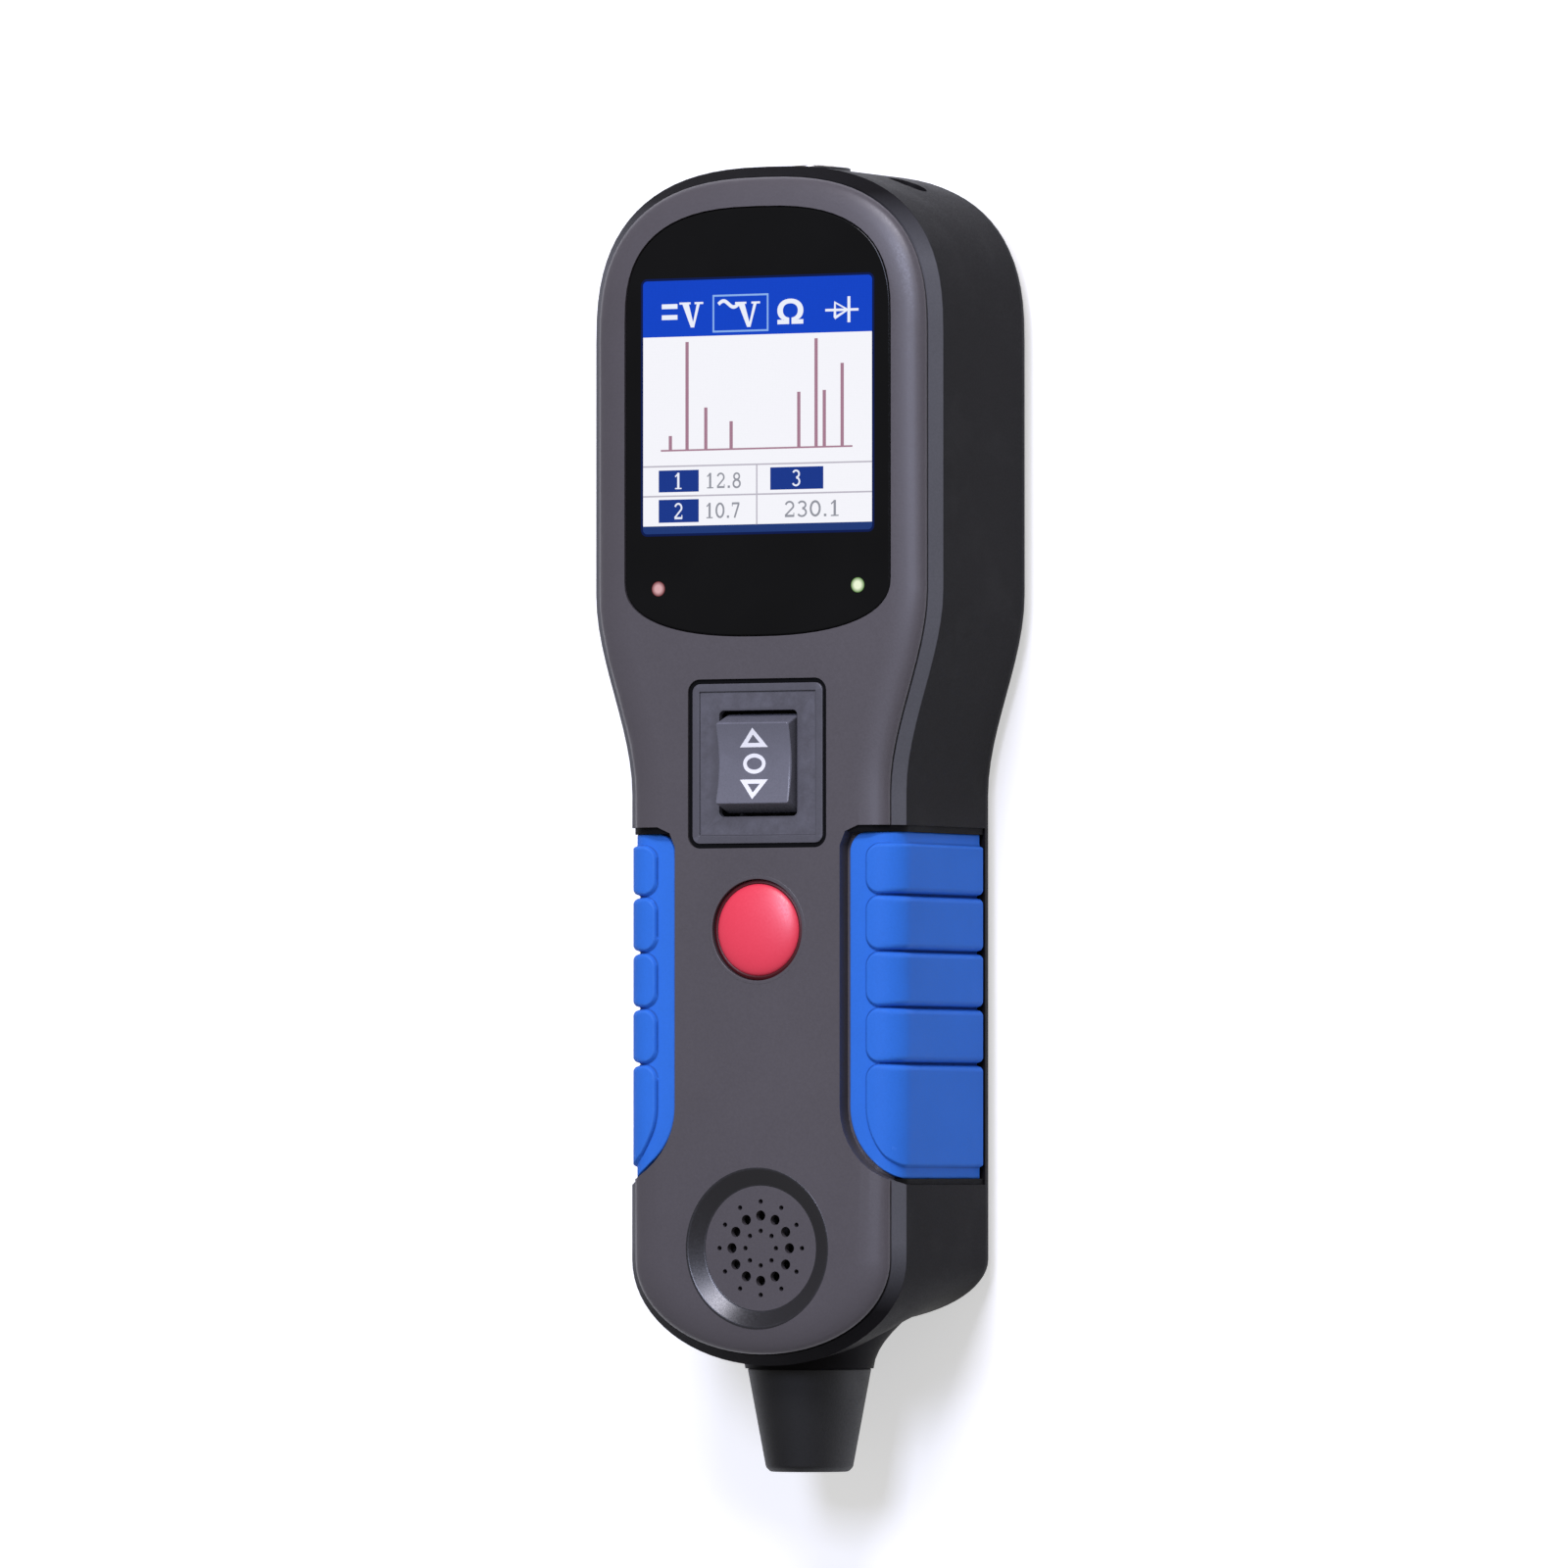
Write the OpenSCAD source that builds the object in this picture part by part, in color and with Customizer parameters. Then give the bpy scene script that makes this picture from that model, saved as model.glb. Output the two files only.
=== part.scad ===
// Handheld automotive circuit tester, lying on its back.
// X runs across the front, Y along the length towards the probe, Z out of the front.
// Positions named _at are heights above the bottom apex of the front cover, or where they say so,
// distances below its top apex.

/* [Case] */
// Length of the front cover
case_l = 204.4; // [203.4:0.1:206.4]
// Width of the front cover across the head
head_w = 64.4; // [64:0.2:67]
// Width of the front cover across the waist
waist_w = 50; // [49.4:0.2:53]
// Height from the rest face to the front plane
case_t = 39; // [38.8:0.1:42]
// Height at which the bottom end meets the straight waist
heel_at = 16.4; // [15:0.1:18]
// Distance below the top apex at which the waist starts to widen
waist_top_at = 107; // [102:0.1:110]
// Distance below the top apex at which the head reaches its full width
head_start_at = 72; // [66:0.1:76]
// Height of the rounded top end
crown_h = 28; // [26:0.1:30]
// Squareness of the rounded top end, 2 is an ellipse
crown_square = 2.6; // [2.3:0.05:3]
// How far the rear cover stands out round the front cover
rim_step = 2; // [1.6:0.1:2.4]
// Wall of the rear cover
wall = 3; // [2.6:0.1:3.2]
// Width of the soft bevel round the front cover
bevel_w = 6.6; // [5:0.1:7]
// Height of the soft bevel
bevel_h = 2; // [1.6:0.1:2.2]
// Open groove between the covers
seam_gap = 0.6; // [0.4:0.1:0.8]
// Radius along the back edge
back_r = 5; // [4:0.5:6]

/* [Neck] */
// Height of the cable axis above the rest face
neck_z = 19.5; // [18.5:0.1:20]
// Radius of the neck where the boot leaves it
neck_r = 11.2; // [10.8:0.1:12]
// Length of the neck below the front cover
neck_l = 2.6; // [2:0.1:4]
// How far the back of the bottom end falls short of the front
chin_set = 6.9; // [5:0.1:8]
// Length of the cable boot outside the neck
boot_l = 18; // [14:0.5:24]
// Radius of the boot at its free end
boot_tip_r = 7.6; // [6.5:0.1:8.5]
// Diameter of the cable bore
cable_d = 6.5; // [5:0.1:7.5]

/* [Display] */
// Width of the display window
window_w = 52.2; // [51:0.1:53]
// Length of the display window
window_l = 74.6; // [73:0.1:75.4]
// Distance of the bottom of the window below the top apex
window_at = 79.8; // [78.4:0.1:80.4]
// Thickness of the window
window_t = 1.4; // [1.2:0.1:1.6]
// Width of the lit area
screen_w = 45; // [42:0.1:45.6]
// Length of the lit area
screen_l = 44; // [41:0.1:45]
// Distance of the middle of the lit area below the top apex
screen_at = 39.7; // [39:0.1:40.4]
// Spacing of the two indicator lights
led_span = 39.2; // [36:0.1:41]
// Distance of the indicator lights below the top apex
led_at = 71.3; // [70.4:0.1:72]
// Diameter of an indicator light
led_d = 3; // [2:0.1:3.4]

/* [Rocker switch] */
// Distance of the middle of the switch below the top apex
switch_at = 101.9; // [100.9:0.1:102.9]
// Width of the switch plate
plate_w = 25.6; // [24:0.1:27]
// Length of the switch plate
plate_l = 27.8; // [26.6:0.1:28.6]
// Thickness of the switch plate
plate_t = 1.5; // [1.3:0.1:1.7]
// Groove round the switch plate
plate_gap = 0.8; // [0.5:0.1:1]
// Width of the rocker opening
rocker_w = 15.3; // [14:0.1:16]
// Length of the rocker opening
rocker_l = 18.4; // [17:0.1:19]
// Depth of the hollow of the rocker
rocker_dish = 1.1; // [0.6:0.1:1.4]
// How far the ends of the rocker stand over the plate
rocker_proud = 2.1; // [1:0.1:2.8]

/* [Push button] */
// Distance of the middle of the button below the top apex
button_at = 130.8; // [129.8:0.1:131.8]
// Diameter of the button cap
button_d = 16; // [14:0.1:16.4]
// Diameter of the button hole
button_hole_d = 17.8; // [17.4:0.1:19]
// Travel of the button
button_travel = 0.8; // [0.5:0.1:1]
// Height of the dome over the front plane
button_dome = 1; // [0.6:0.1:1.6]

/* [Speaker] */
// Height of the middle of the speaker
speaker_at = 18.4; // [18:0.1:19]
// Diameter of the dished ring at the front plane
dish_d = 27.6; // [26:0.1:29]
// Diameter of the flat grille
grille_d = 22.3; // [21:0.1:23]
// Depth of the grille below the front plane
grille_set = 1.4; // [1:0.1:1.6]
// Diameter of the speaker
speaker_d = 24; // [22:0.1:25]

/* [Grips] */
// Height of the bottom of the grips
grip_at = 30.4; // [30:0.1:31.4]
// Length of the grips
grip_l = 60.1; // [56:0.1:61]
// Distance from the middle to the inner edge of a grip
grip_in = 17.2; // [16.6:0.1:18]
// Thickness of the grips
grip_t = 2; // [1.8:0.1:2.4]
// Height of the pads over the rim of the grip
pad_h = 0.7; // [0.4:0.05:1]
// Depth of the notches between the pads
notch_h = 1.3; // [0.8:0.1:1.5]
// Distance from one notch to the next
notch_pitch = 9.73; // [9:0.01:10]
// Open groove round a grip
grip_gap = 1; // [0.6:0.1:1.2]

/* [Probe socket] */
// Height of the probe axis above the rest face
socket_z = 18; // [18:0.1:19]
// Diameter of the probe bore
probe_d = 4; // [3:0.1:5]
// Distance between the two work lights
light_span = 37; // [35:0.1:38]
// Diameter of a work light lens
lens_d = 5.2; // [4:0.1:5.6]

/* [Boards] */
// Height of the underside of the main board
board_z = 12; // [11:0.1:12]
// Width of the main board
board_w = 39.2; // [38.6:0.1:40]
// Thickness of every circuit board
board_t = 1.6; // [1:0.1:1.6]

/* [Hidden] */
$fn = 48;

tiny = 0.01;
past = 1;

// Heights of what keeps its distance from the top apex
crown_at = case_l - crown_h;
waist_top_y = case_l - waist_top_at;
head_start_y = case_l - head_start_at;
window_y = case_l - window_at;
screen_y = case_l - screen_at;
led_y = case_l - led_at;
switch_y = case_l - switch_at;
button_y = case_l - button_at;

// Case heights and depths
top_y = case_l + rim_step;
seam_z = case_t - bevel_h;
rim_z = seam_z - seam_gap;
foot_z = rim_z;
skin = case_t - foot_z;
foot_in = 0.6;
rim_edge = 0.2;
chamfer = rim_step - rim_edge;
inner_d = wall - rim_step;
back_wall = 2.2;
boss_split_z = 24;
boss_r = 3.2;
lip_t = 1.6;
lip_drop = 3;
fit = 0.2;

// Neck and boot
neck_end_y = -neck_l;
flare_start_at = heel_at - 6.4;
flare_w = 23.6;
flare_h = 14.6;
flare_power = 1.7;
neck_wall = 3;
boot_seat_y = neck_end_y + neck_wall;
boot_waist_r = neck_r - 3.3;
boot_flange_r = neck_r - 1.2;
boot_flange_t = 2;
boot_end_y = neck_end_y - boot_l;
cable_r = cable_d / 2;

// Probe socket
socket_seat_y = top_y - 0.4;
socket_wall_y = top_y - wall;
collar_r = 6.5;
collar_body_r = 5.5;
collar_head_t = 1;
collar_back_y = socket_wall_y - 6.4;
socket_r = 4;
socket_flange_r = 5;
socket_flange_t = 1.2;
socket_tip_y = socket_seat_y + collar_head_t + 0.4;
socket_back_y = collar_back_y - 7;
nut_flats = 13;
nut_t = 3;

// The whole thing is centred on its length
mid_y = (socket_tip_y + boot_end_y) / 2;

light_x = light_span / 2;
lens_r = lens_d / 2;
lens_flange_r = lens_r + 0.6;
lens_share = (light_x + lens_flange_r) / (head_w / 2 + rim_step);
lens_seat_y = crown_at - 0.8
    + (crown_h + rim_step) * pow(1 - pow(lens_share, crown_square), 1 / crown_square);
lens_back_y = lens_seat_y - 2.6;
probe_deep = 14;
head_seat_z = 16;

// Display stack, from the window down
window_z = case_t - 0.1 - window_t;
window_arch_h = 19.8;
window_chin_h = 9.8;
window_arch_square = 2.7;
window_chin_square = 2.4;

// Steps of the drawn outlines
heel_steps = 18;
waist_steps = 12;
crown_steps = 20;
window_steps = 16;
neck_steps = 36;
flare_steps = 8;

// Posts and bores of the rear cover
board_post_r = 2.8;
clamp_post_r = 2.4;
head_bore_r = 2.3;
shank_bore_r = 1.2;

plate_rim_w = 1.4;
rocker_tuck = 2.4;
window_top = window_y + window_l;
panel_border = 1.8;
panel_w = screen_w + 2 * panel_border;
panel_l = screen_l + 2 * 2.5;
panel_t = 3.2;
panel_top_z = window_z - 0.1;
panel_z = panel_top_z - panel_t;
holder_wall = 1.3;
holder_floor = 1.2;
display_top_z = panel_z - holder_floor;
display_z = display_top_z - board_t;
display_w = 52;
display_bottom = led_y - 6;
display_top = screen_y + panel_l / 2 + holder_wall + fit;
display_tab_w = 14;
display_tab_l = 8;
display_boss_r = 2.4;
led_r = led_d / 2;
led_tip_z = window_z - 0.2;

// Switch
plate_z = case_t - 0.1 - plate_t;
plate_corner = 1.5;
body_wall = 1.7;
body_w = rocker_w + 2 * body_wall;
body_l = rocker_l + 2 * body_wall;
body_low_z = 20;
body_pit_z = 31;
pivot_z = plate_z - 1.8;
trunnion_r = 1.2;
running = 0.05;
side_gap = 0.5;
end_gap = 0.6;
rocker_top_z = case_t - 0.1 + rocker_proud;
rocker_base_z = pivot_z - 2.2;
rocker_half = rocker_l / 2 - end_gap;
rocker_crest = rocker_half - 1.6;

// Button stack
board_top_z = board_z + board_t;
header_h = 13.8;
button_low_z = board_top_z + header_h;
button_board_top = button_low_z + board_t;
tact_h = 3.5;
plunger_h = 0.8;
plunger_top = button_board_top + tact_h + plunger_h;
button_r = button_d / 2;
button_hole_r = button_hole_d / 2;
guide_r = button_hole_r - running;
flange_top_z = foot_z - 0.2;
flange_t = 1.2;
guide_drop = 0.2;
button_post_z = plunger_top + button_travel + 0.1;
button_boss_span = 27;

// Speaker stack
grille_ring_r = 5.65;
grille_hole_r = 0.9;
pin_hole_r = 0.42;
dish_r = dish_d / 2;
grille_r = grille_d / 2;
gasket_t = 1;
speaker_r = speaker_d / 2;
gasket_z = foot_z - gasket_t;
basket_flange_t = 1;
basket_z = gasket_z - basket_flange_t;
basket_deep = 4.4;
basket_r = speaker_r - 3;
magnet_r = speaker_r / 2;
magnet_t = 4;
clamp_t = 1;
clamp_ear = speaker_r + 3.6;

// Grips
grip_top_at = grip_at + grip_l;
grip_level = case_t - 1.1;
grip_side = waist_w / 2 + rim_step;
pocket_out = head_w / 2 + rim_step + past;
grip_round = 5;
grip_low_z = back_r + 0.5;
grip_core_x = grip_side - grip_t;
grip_core_z = grip_level - grip_t;
floor_t = 1.6;
floor_z = grip_core_z - floor_t;
grip_top_gap = grip_gap + 0.1;
sweep_s = 13;
sweep_y = 12.5;
corner_s = 3.5;
rim_w = 3.2;
rim_step_w = 0.5;
pad_end = 2;
notch_half = 1.2;
front_run = grip_side - grip_round - grip_in;
arc_run = grip_round * PI / 2;
side_run = grip_level - grip_round - grip_low_z;
section_run = front_run + arc_run + side_run;

notches = 4;
grip_columns = [0, rim_w - tiny, rim_w + rim_step_w, 5, 6.6, 8.4, 10.2, 12, 15];
grip_rows = concat([for (t = [0, 0.7, 1.9, 2.4, 4, 6, 8.4, sweep_y]) grip_at + t],
    [for (i = [notches:-1:1]) each [notch_at(i) - notch_half, notch_at(i), notch_at(i) + notch_half]],
    [for (t = [corner_s, 2.2, 1.7, 0.7, 0]) grip_top_at - t]);

// Board layout
board_low = 31;
board_high = socket_back_y + 0.4;
relay_y = screen_y - 14.7;
chip_y = switch_y + 19.5;
terminal_y = board_low + 6;
cap_y = board_low + 21;
cap_pitch = 10;
cap_r = 4;
cap_h = 10;
cap_x = -11;
relay_size = [15.5, 19, 14];
chip_w = 12;
chip_h = 1.4;
terminal_size = [16, 8, 9];
wire_hole_r = 1.8;
wire_span = 8;
header_at = button_y - 10;
ribbon_at = led_y + 2;
ribbon_w = 14;
ribbon_x = 11;
connector_h = 2.4;
clamp_at = 11;
clamp_span = 18;
clamp_low_z = neck_z + 0.5;
clamp_bar_t = 4.5;
screw_r = 0.95;
screw_head_r = 1.9;
screw_head_t = 1.4;
case_screw_l = 15;
board_screw_l = 7;
display_screw_l = 5;
speaker_screw_l = 3.8;
pilot_r = 1;

case_bosses = [[-11.5, socket_back_y + 4.1], [11.5, socket_back_y + 4.1], [-23.5, window_y - 3.6],
    [23.5, window_y - 3.6], [-19.5, grip_at - 4.2], [19.5, grip_at - 4.2]];
board_bosses = [for (y = [board_low + 5, board_high - 10.4]) for (x = [-16.5, 16.5]) [x, y]];
display_bosses = [[0, display_top + 4.3], [-23.4, led_y - 2.6], [23.4, led_y - 2.6]];
button_bosses = [[0, button_y - button_boss_span / 2], [0, button_y + button_boss_span / 2]];
speaker_bosses = [[-clamp_ear, speaker_at], [clamp_ear, speaker_at]];

// Colours
cover_grey = [0.35, 0.34, 0.37];
rear_black = [0.17, 0.16, 0.17];
grip_blue = [0.18, 0.43, 0.84];
glass_black = [0.06, 0.06, 0.07];
board_green = [0.1, 0.35, 0.2];
bright_steel = [0.75, 0.76, 0.78];
brass_gold = [0.8, 0.68, 0.4];

module in_case() {
    translate([0, -mid_y, 0])
        children();
}

// Outline helpers
function smooth(t) = t * t * (3 - 2 * t);

function mirrored(half) = concat(half, [for (i = [len(half) - 2:-1:1]) [-half[i][0], half[i][1]]]);

// Half outline of the case from the bottom apex up to the top apex, drawn in by d,
// with the bottom end set back by c
function case_half(d, c) = concat(
    [for (i = [0:heel_steps]) let (a = 90 * i / heel_steps)
        [(waist_w / 2 - d) * sin(a), heel_at - (heel_at - c - d) * cos(a)]],
    [for (i = [0:waist_steps]) [waist_w / 2 - d + (head_w - waist_w) / 2 * smooth(i / waist_steps),
        waist_top_y + (head_start_y - waist_top_y) * i / waist_steps]],
    [for (i = [0:crown_steps]) let (a = 90 * i / crown_steps)
        [(head_w / 2 - d) * pow(cos(a), 2 / crown_square),
            crown_at + (crown_h - d) * pow(sin(a), 2 / crown_square)]]);

function case_outline(d, c = 0) = mirrored(case_half(d, c));

function window_half(d) = concat(
    [for (i = [0:window_steps]) let (a = 90 * i / window_steps)
        [(window_w / 2 - d) * pow(sin(a), 2 / window_chin_square),
            window_y + window_chin_h - (window_chin_h - d) * pow(cos(a), 2 / window_chin_square)]],
    [for (i = [0:window_steps]) let (a = 90 * i / window_steps)
        [(window_w / 2 - d) * pow(cos(a), 2 / window_arch_square),
            window_top - window_arch_h + (window_arch_h - d) * pow(sin(a), 2 / window_arch_square)]]);

function lifted(z, outline) = [for (p = outline) [p[0], p[1], z]];

// Triangles that close an end ring, from point i straight across to the point that mirrors it
function folded_cap(first, n) = [for (i = [0:n / 2 - 2])
    each [[first + i, first + i + 1, first + n - 1 - i],
        [first + i + 1, first + n - 2 - i, first + n - 1 - i]]];

function turned_over(faces) = [for (f = faces) [f[2], f[1], f[0]]];

// Closed skin over a stack of rings, each with the same count of points
module loft(rings, folded = false) {
    n = len(rings[0]);
    m = len(rings);
    top = (m - 1) * n;
    points = [for (ring = rings) for (p = ring) p];
    sides = [for (k = [0:m - 2]) for (i = [0:n - 1]) let (a = k * n + i, b = k * n + (i + 1) % n)
        each [[a, a + n, b + n], [a, b + n, b]]];
    caps = folded ? concat(folded_cap(0, n), turned_over(folded_cap(top, n)))
        : [[for (i = [0:n - 1]) i], [for (i = [n - 1:-1:0]) top + i]];
    polyhedron(points = points, faces = concat(sides, caps));
}

module slab(outline, z, h) {
    translate([0, 0, z])
        linear_extrude(h)
            polygon(outline);
}

module rounded_box(w, l, h, r) {
    linear_extrude(h)
        union() {
            square([w - 2 * r, l], center = true);
            square([w, l - 2 * r], center = true);
            for (x = [-1, 1])
                for (y = [-1, 1])
                    translate([x * (w / 2 - r), y * (l / 2 - r)])
                        circle(r);
        }
}

module block(w, l, h, x, y, z) {
    translate([x - w / 2, y - l / 2, z])
        cube([w, l, h]);
}

module post(r, h, x, y, z) {
    translate([x, y, z])
        cylinder(r = r, h = h);
}

module along_y(y, z, x = 0) {
    translate([x, y, z])
        rotate([-90, 0, 0])
            children();
}

// Screws whose heads bear on the plane at seat_z and whose shanks point up, or down if turned
module screws(places, seat_z, shank, turned = false) {
    for (p = places)
        translate([p[0], p[1], seat_z])
            mirror([0, 0, turned ? 1 : 0])
                difference() {
                    union() {
                        translate([0, 0, -screw_head_t])
                            cylinder(r = screw_head_r, h = screw_head_t);
                        translate([0, 0, -tiny])
                            cylinder(r = screw_r, h = shank);
                    }
                    for (turn = [0, 90])
                        rotate([0, 0, turn])
                            translate([-screw_head_r * 0.6, -0.2, -screw_head_t - past])
                                cube([screw_head_r * 1.2, 0.4, past + 0.6]);
                }
}

module pilot_holes(places, z, deep) {
    for (p = places)
        post(pilot_r, deep, p[0], p[1], z);
}

// How far a rounded corner of the grip takes its inner edge back, at a depth into the corner
function corner_cut(depth, reach, run) = depth >= run ? 0
    : reach * (1 - sqrt(max(0, 1 - pow(1 - depth / run, 2))));

// Run along the section at which the grip starts at height y
function edge_run(y) = max(corner_cut(y - grip_at, sweep_s, sweep_y),
    corner_cut(grip_top_at - y, corner_s, corner_s));

// Point and outward angle of the grip's section at run s
function section_at(s) = s < front_run ? [grip_in + s, grip_level, 0]
    : s < front_run + arc_run
        ? let (a = (s - front_run) / arc_run * 90)
            [grip_side - grip_round + grip_round * sin(a), grip_level - grip_round + grip_round * cos(a), a]
        : [grip_side, grip_level - grip_round - (s - front_run - arc_run), 90];

function notch_fade(s) = smooth(min(1, max(0, (s - rim_w - 1) / 7)));

function notch_at(i) = grip_top_at - 1.2 - notch_pitch * i;

function notch_share(y) = max([for (i = [1:notches]) max(0, 1 - abs(y - notch_at(i)) / notch_half)]);

// How far the surface lies under the pads at run s past the inner edge, height y
function surface_drop(s, y, inside) = let (
        n = notch_share(y),
        rim = s < rim_w || inside < pad_end ? 1 : 0)
    max(rim * pad_h, n > 0 ? n * (pad_h + (notch_h - pad_h) * notch_fade(s)) : 0);

// One cross-section of the right grip: out and down over the pads, then back up inside
function grip_ring(y) = let (
        start = edge_run(y),
        run = section_run - start,
        inside = min(y - grip_at, grip_top_at - y),
        runs = concat(grip_columns, [run - 2, run - 0.4]),
        outer = [for (c = runs) let (p = section_at(start + c), d = surface_drop(c, y, inside))
            [p[0] - d * sin(p[2]), p[1] - d * cos(p[2])]],
        inner = [for (i = [len(runs) - 1:-1:0]) let (p = section_at(start + runs[i]))
            [p[0] - grip_t * sin(p[2]), p[1] - grip_t * cos(p[2])]],
        low = [[grip_side - pad_h, grip_low_z], [grip_side - grip_t, grip_low_z]])
    [for (q = concat(outer, low, inner)) [q[0], y, q[1]]];

module grip_shell() {
    loft([for (y = grip_rows) grip_ring(y)], folded = true);
}

// Section of the core under the right grip, with its edge rounded a little more than the grip
module grip_core() {
    r = grip_round - grip_t + 0.4;
    square([grip_core_x, grip_core_z - r]);
    square([grip_core_x - r, grip_core_z]);
    translate([grip_core_x - r, grip_core_z - r])
        circle(r);
}

// Recess that takes the right grip, cut round a core that the grip hugs
module grip_pocket() {
    low = grip_at - grip_gap;
    high = grip_top_at + grip_top_gap;
    edge = grip_in - grip_gap;
    sweep = [for (i = [0:10]) let (y = grip_at + sweep_y * (1 - cos(9 * i)))
        [section_at(edge_run(y))[0] - grip_gap * sin(9 * i), y - grip_gap * cos(9 * i)]];
    difference() {
        union() {
            slab(concat(sweep, [[edge, high - corner_s], [edge + corner_s * 0.3, high - corner_s * 0.3],
                [edge + corner_s, high], [pocket_out, high], [pocket_out, low]]),
                grip_level - grip_round, case_t);
            translate([0, low, grip_low_z - grip_gap / 2])
                cube([pocket_out, high - low,
                    grip_level - grip_round - grip_low_z + grip_gap / 2 + tiny]);
        }
        translate([0, high + past, 0])
            rotate([90, 0, 0])
                linear_extrude(high - low + 2 * past)
                    grip_core();
    }
}

module both_sides() {
    children();
    mirror([1, 0, 0])
        children();
}

// Block across the stretch of the case that holds the grips
module grip_stretch(x0, x1, z0, z1, extra) {
    low = grip_at - grip_gap - extra;
    translate([x0, low, z0])
        cube([x1 - x0, grip_top_at + grip_top_gap + extra - low, z1 - z0]);
}

// Point of the bevel's quarter ellipse at angle a, as height and inset
function bevel_at(a) = [seam_z + bevel_h * sin(a), bevel_w * (1 - cos(a))];

// The skin runs on past both flat faces, which the plain slab then gives
module front_plate() {
    foot = case_outline(foot_in);
    bevel = [for (a = [0:15:75]) bevel_at(a)];
    over = 2 * bevel_at(90) - bevel_at(75);
    intersection() {
        slab(case_outline(-past), foot_z, case_t - foot_z);
        loft(concat([lifted(foot_z - past, foot), lifted(seam_z, foot)],
            [for (p = concat(bevel, [over])) lifted(p[0], case_outline(p[1]))]));
    }
}

// Lip that locates the front cover inside the rear cover
module front_lip() {
    difference() {
        slab(case_outline(inner_d + fit), foot_z - lip_drop, lip_drop + tiny);
        slab(case_outline(inner_d + fit + lip_t), foot_z - lip_drop - past, lip_drop + 2 * past);
        both_sides()
            grip_stretch(-tiny, head_w, foot_z - lip_drop - past, foot_z, floor_t);
    }
}

module front_bosses() {
    for (p = case_bosses)
        post(boss_r, foot_z - boss_split_z + tiny, p[0], p[1], boss_split_z);
    for (p = display_bosses)
        post(display_boss_r, foot_z - display_top_z + tiny, p[0], p[1], display_top_z);
    for (p = button_bosses)
        post(display_boss_r, foot_z - button_board_top + tiny, p[0], p[1], button_board_top);
    for (p = speaker_bosses)
        post(display_boss_r, foot_z - basket_z + tiny, p[0], p[1], basket_z);
}

// Ring of round sound holes through the grille
module sound_holes(count, ring_r, hole_r) {
    for (i = [0:count - 1])
        translate([ring_r * sin(360 * i / count), speaker_at + ring_r * cos(360 * i / count), foot_z - past])
            cylinder(r = hole_r, h = skin + 2 * past, $fn = 16);
}

module front_openings() {
    slab(mirrored(window_half(-0.1)), window_z, case_t);
    block(panel_w + 2 * fit, panel_l + 2 * fit, case_t, 0, screen_y, foot_z - past);
    for (x = [-1, 1])
        post(led_r + fit, case_t, x * led_span / 2, led_y, foot_z - past);
    translate([0, switch_y, plate_z])
        rounded_box(plate_w + 2 * plate_gap, plate_l + 2 * plate_gap, case_t, plate_corner + plate_gap);
    block(body_w + 2 * fit, body_l + 2 * fit, case_t, 0, switch_y, foot_z - past);
    post(button_hole_r, case_t, 0, button_y, foot_z - past);
    translate([0, speaker_at, case_t - grille_set])
        cylinder(r1 = grille_r, r2 = dish_r + (dish_r - grille_r) / grille_set * past, h = grille_set + past);
    sound_holes(12, grille_ring_r, grille_hole_r);
    sound_holes(12, grille_ring_r + 2.45, pin_hole_r);
    sound_holes(8, grille_ring_r - 2.65, pin_hole_r);
    pilot_holes(case_bosses, boss_split_z - past, 9);
    pilot_holes(display_bosses, display_top_z - past, 5);
    pilot_holes(button_bosses, button_board_top - past, 7);
    pilot_holes(speaker_bosses, basket_z - past, 4);
}

module front_cover() {
    color(cover_grey)
        in_case()
            difference() {
                union() {
                    front_plate();
                    front_lip();
                    front_bosses();
                    both_sides()
                        intersection() {
                            grip_stretch(grip_in - grip_gap - floor_t, grip_core_x, floor_z,
                                foot_z + tiny, floor_t);
                            slab(case_outline(0), 0, case_t);
                        }
                }
                both_sides()
                    grip_pocket();
                front_openings();
            }
}

// Set-back of the bottom end at height z
function chin(z) = chin_set * (1 - smooth(min(1, max(0, (z - back_r) / (rim_z - chamfer - back_r)))));

// Point of the rounded back edge at angle a, as height and inset
function back_at(a) = [back_r * (1 - cos(a)), back_r * (1 - sin(a)) - rim_step];

module rear_skin() {
    corner = concat([2 * back_at(0) - back_at(15)], [for (a = [15:15:90]) back_at(a)]);
    walls = [for (t = [0.2, 0.4, 0.6, 0.8, 1]) back_r + (rim_z - chamfer - back_r) * t];
    intersection() {
        slab(case_outline(-rim_step - past), 0, rim_z);
        loft(concat([for (p = corner) lifted(p[0], case_outline(p[1], chin(p[0])))],
            [for (z = walls) lifted(z, case_outline(-rim_step, chin(z)))],
            [lifted(rim_z + past, case_outline(past - rim_edge))]));
    }
}

module rear_hollow() {
    low_d = inner_d + back_r - back_wall;
    walls = [for (t = [0, 0.25, 0.5, 0.75, 1]) back_r + (rim_z - chamfer - back_r) * t];
    intersection() {
        slab(case_outline(0), back_wall, case_t);
        loft(concat([lifted(back_wall - past, case_outline(low_d + past, chin_set))],
            [for (z = walls) lifted(z, case_outline(inner_d, chin(z)))],
            [lifted(rim_z + past, case_outline(inner_d))]));
    }
}

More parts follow.
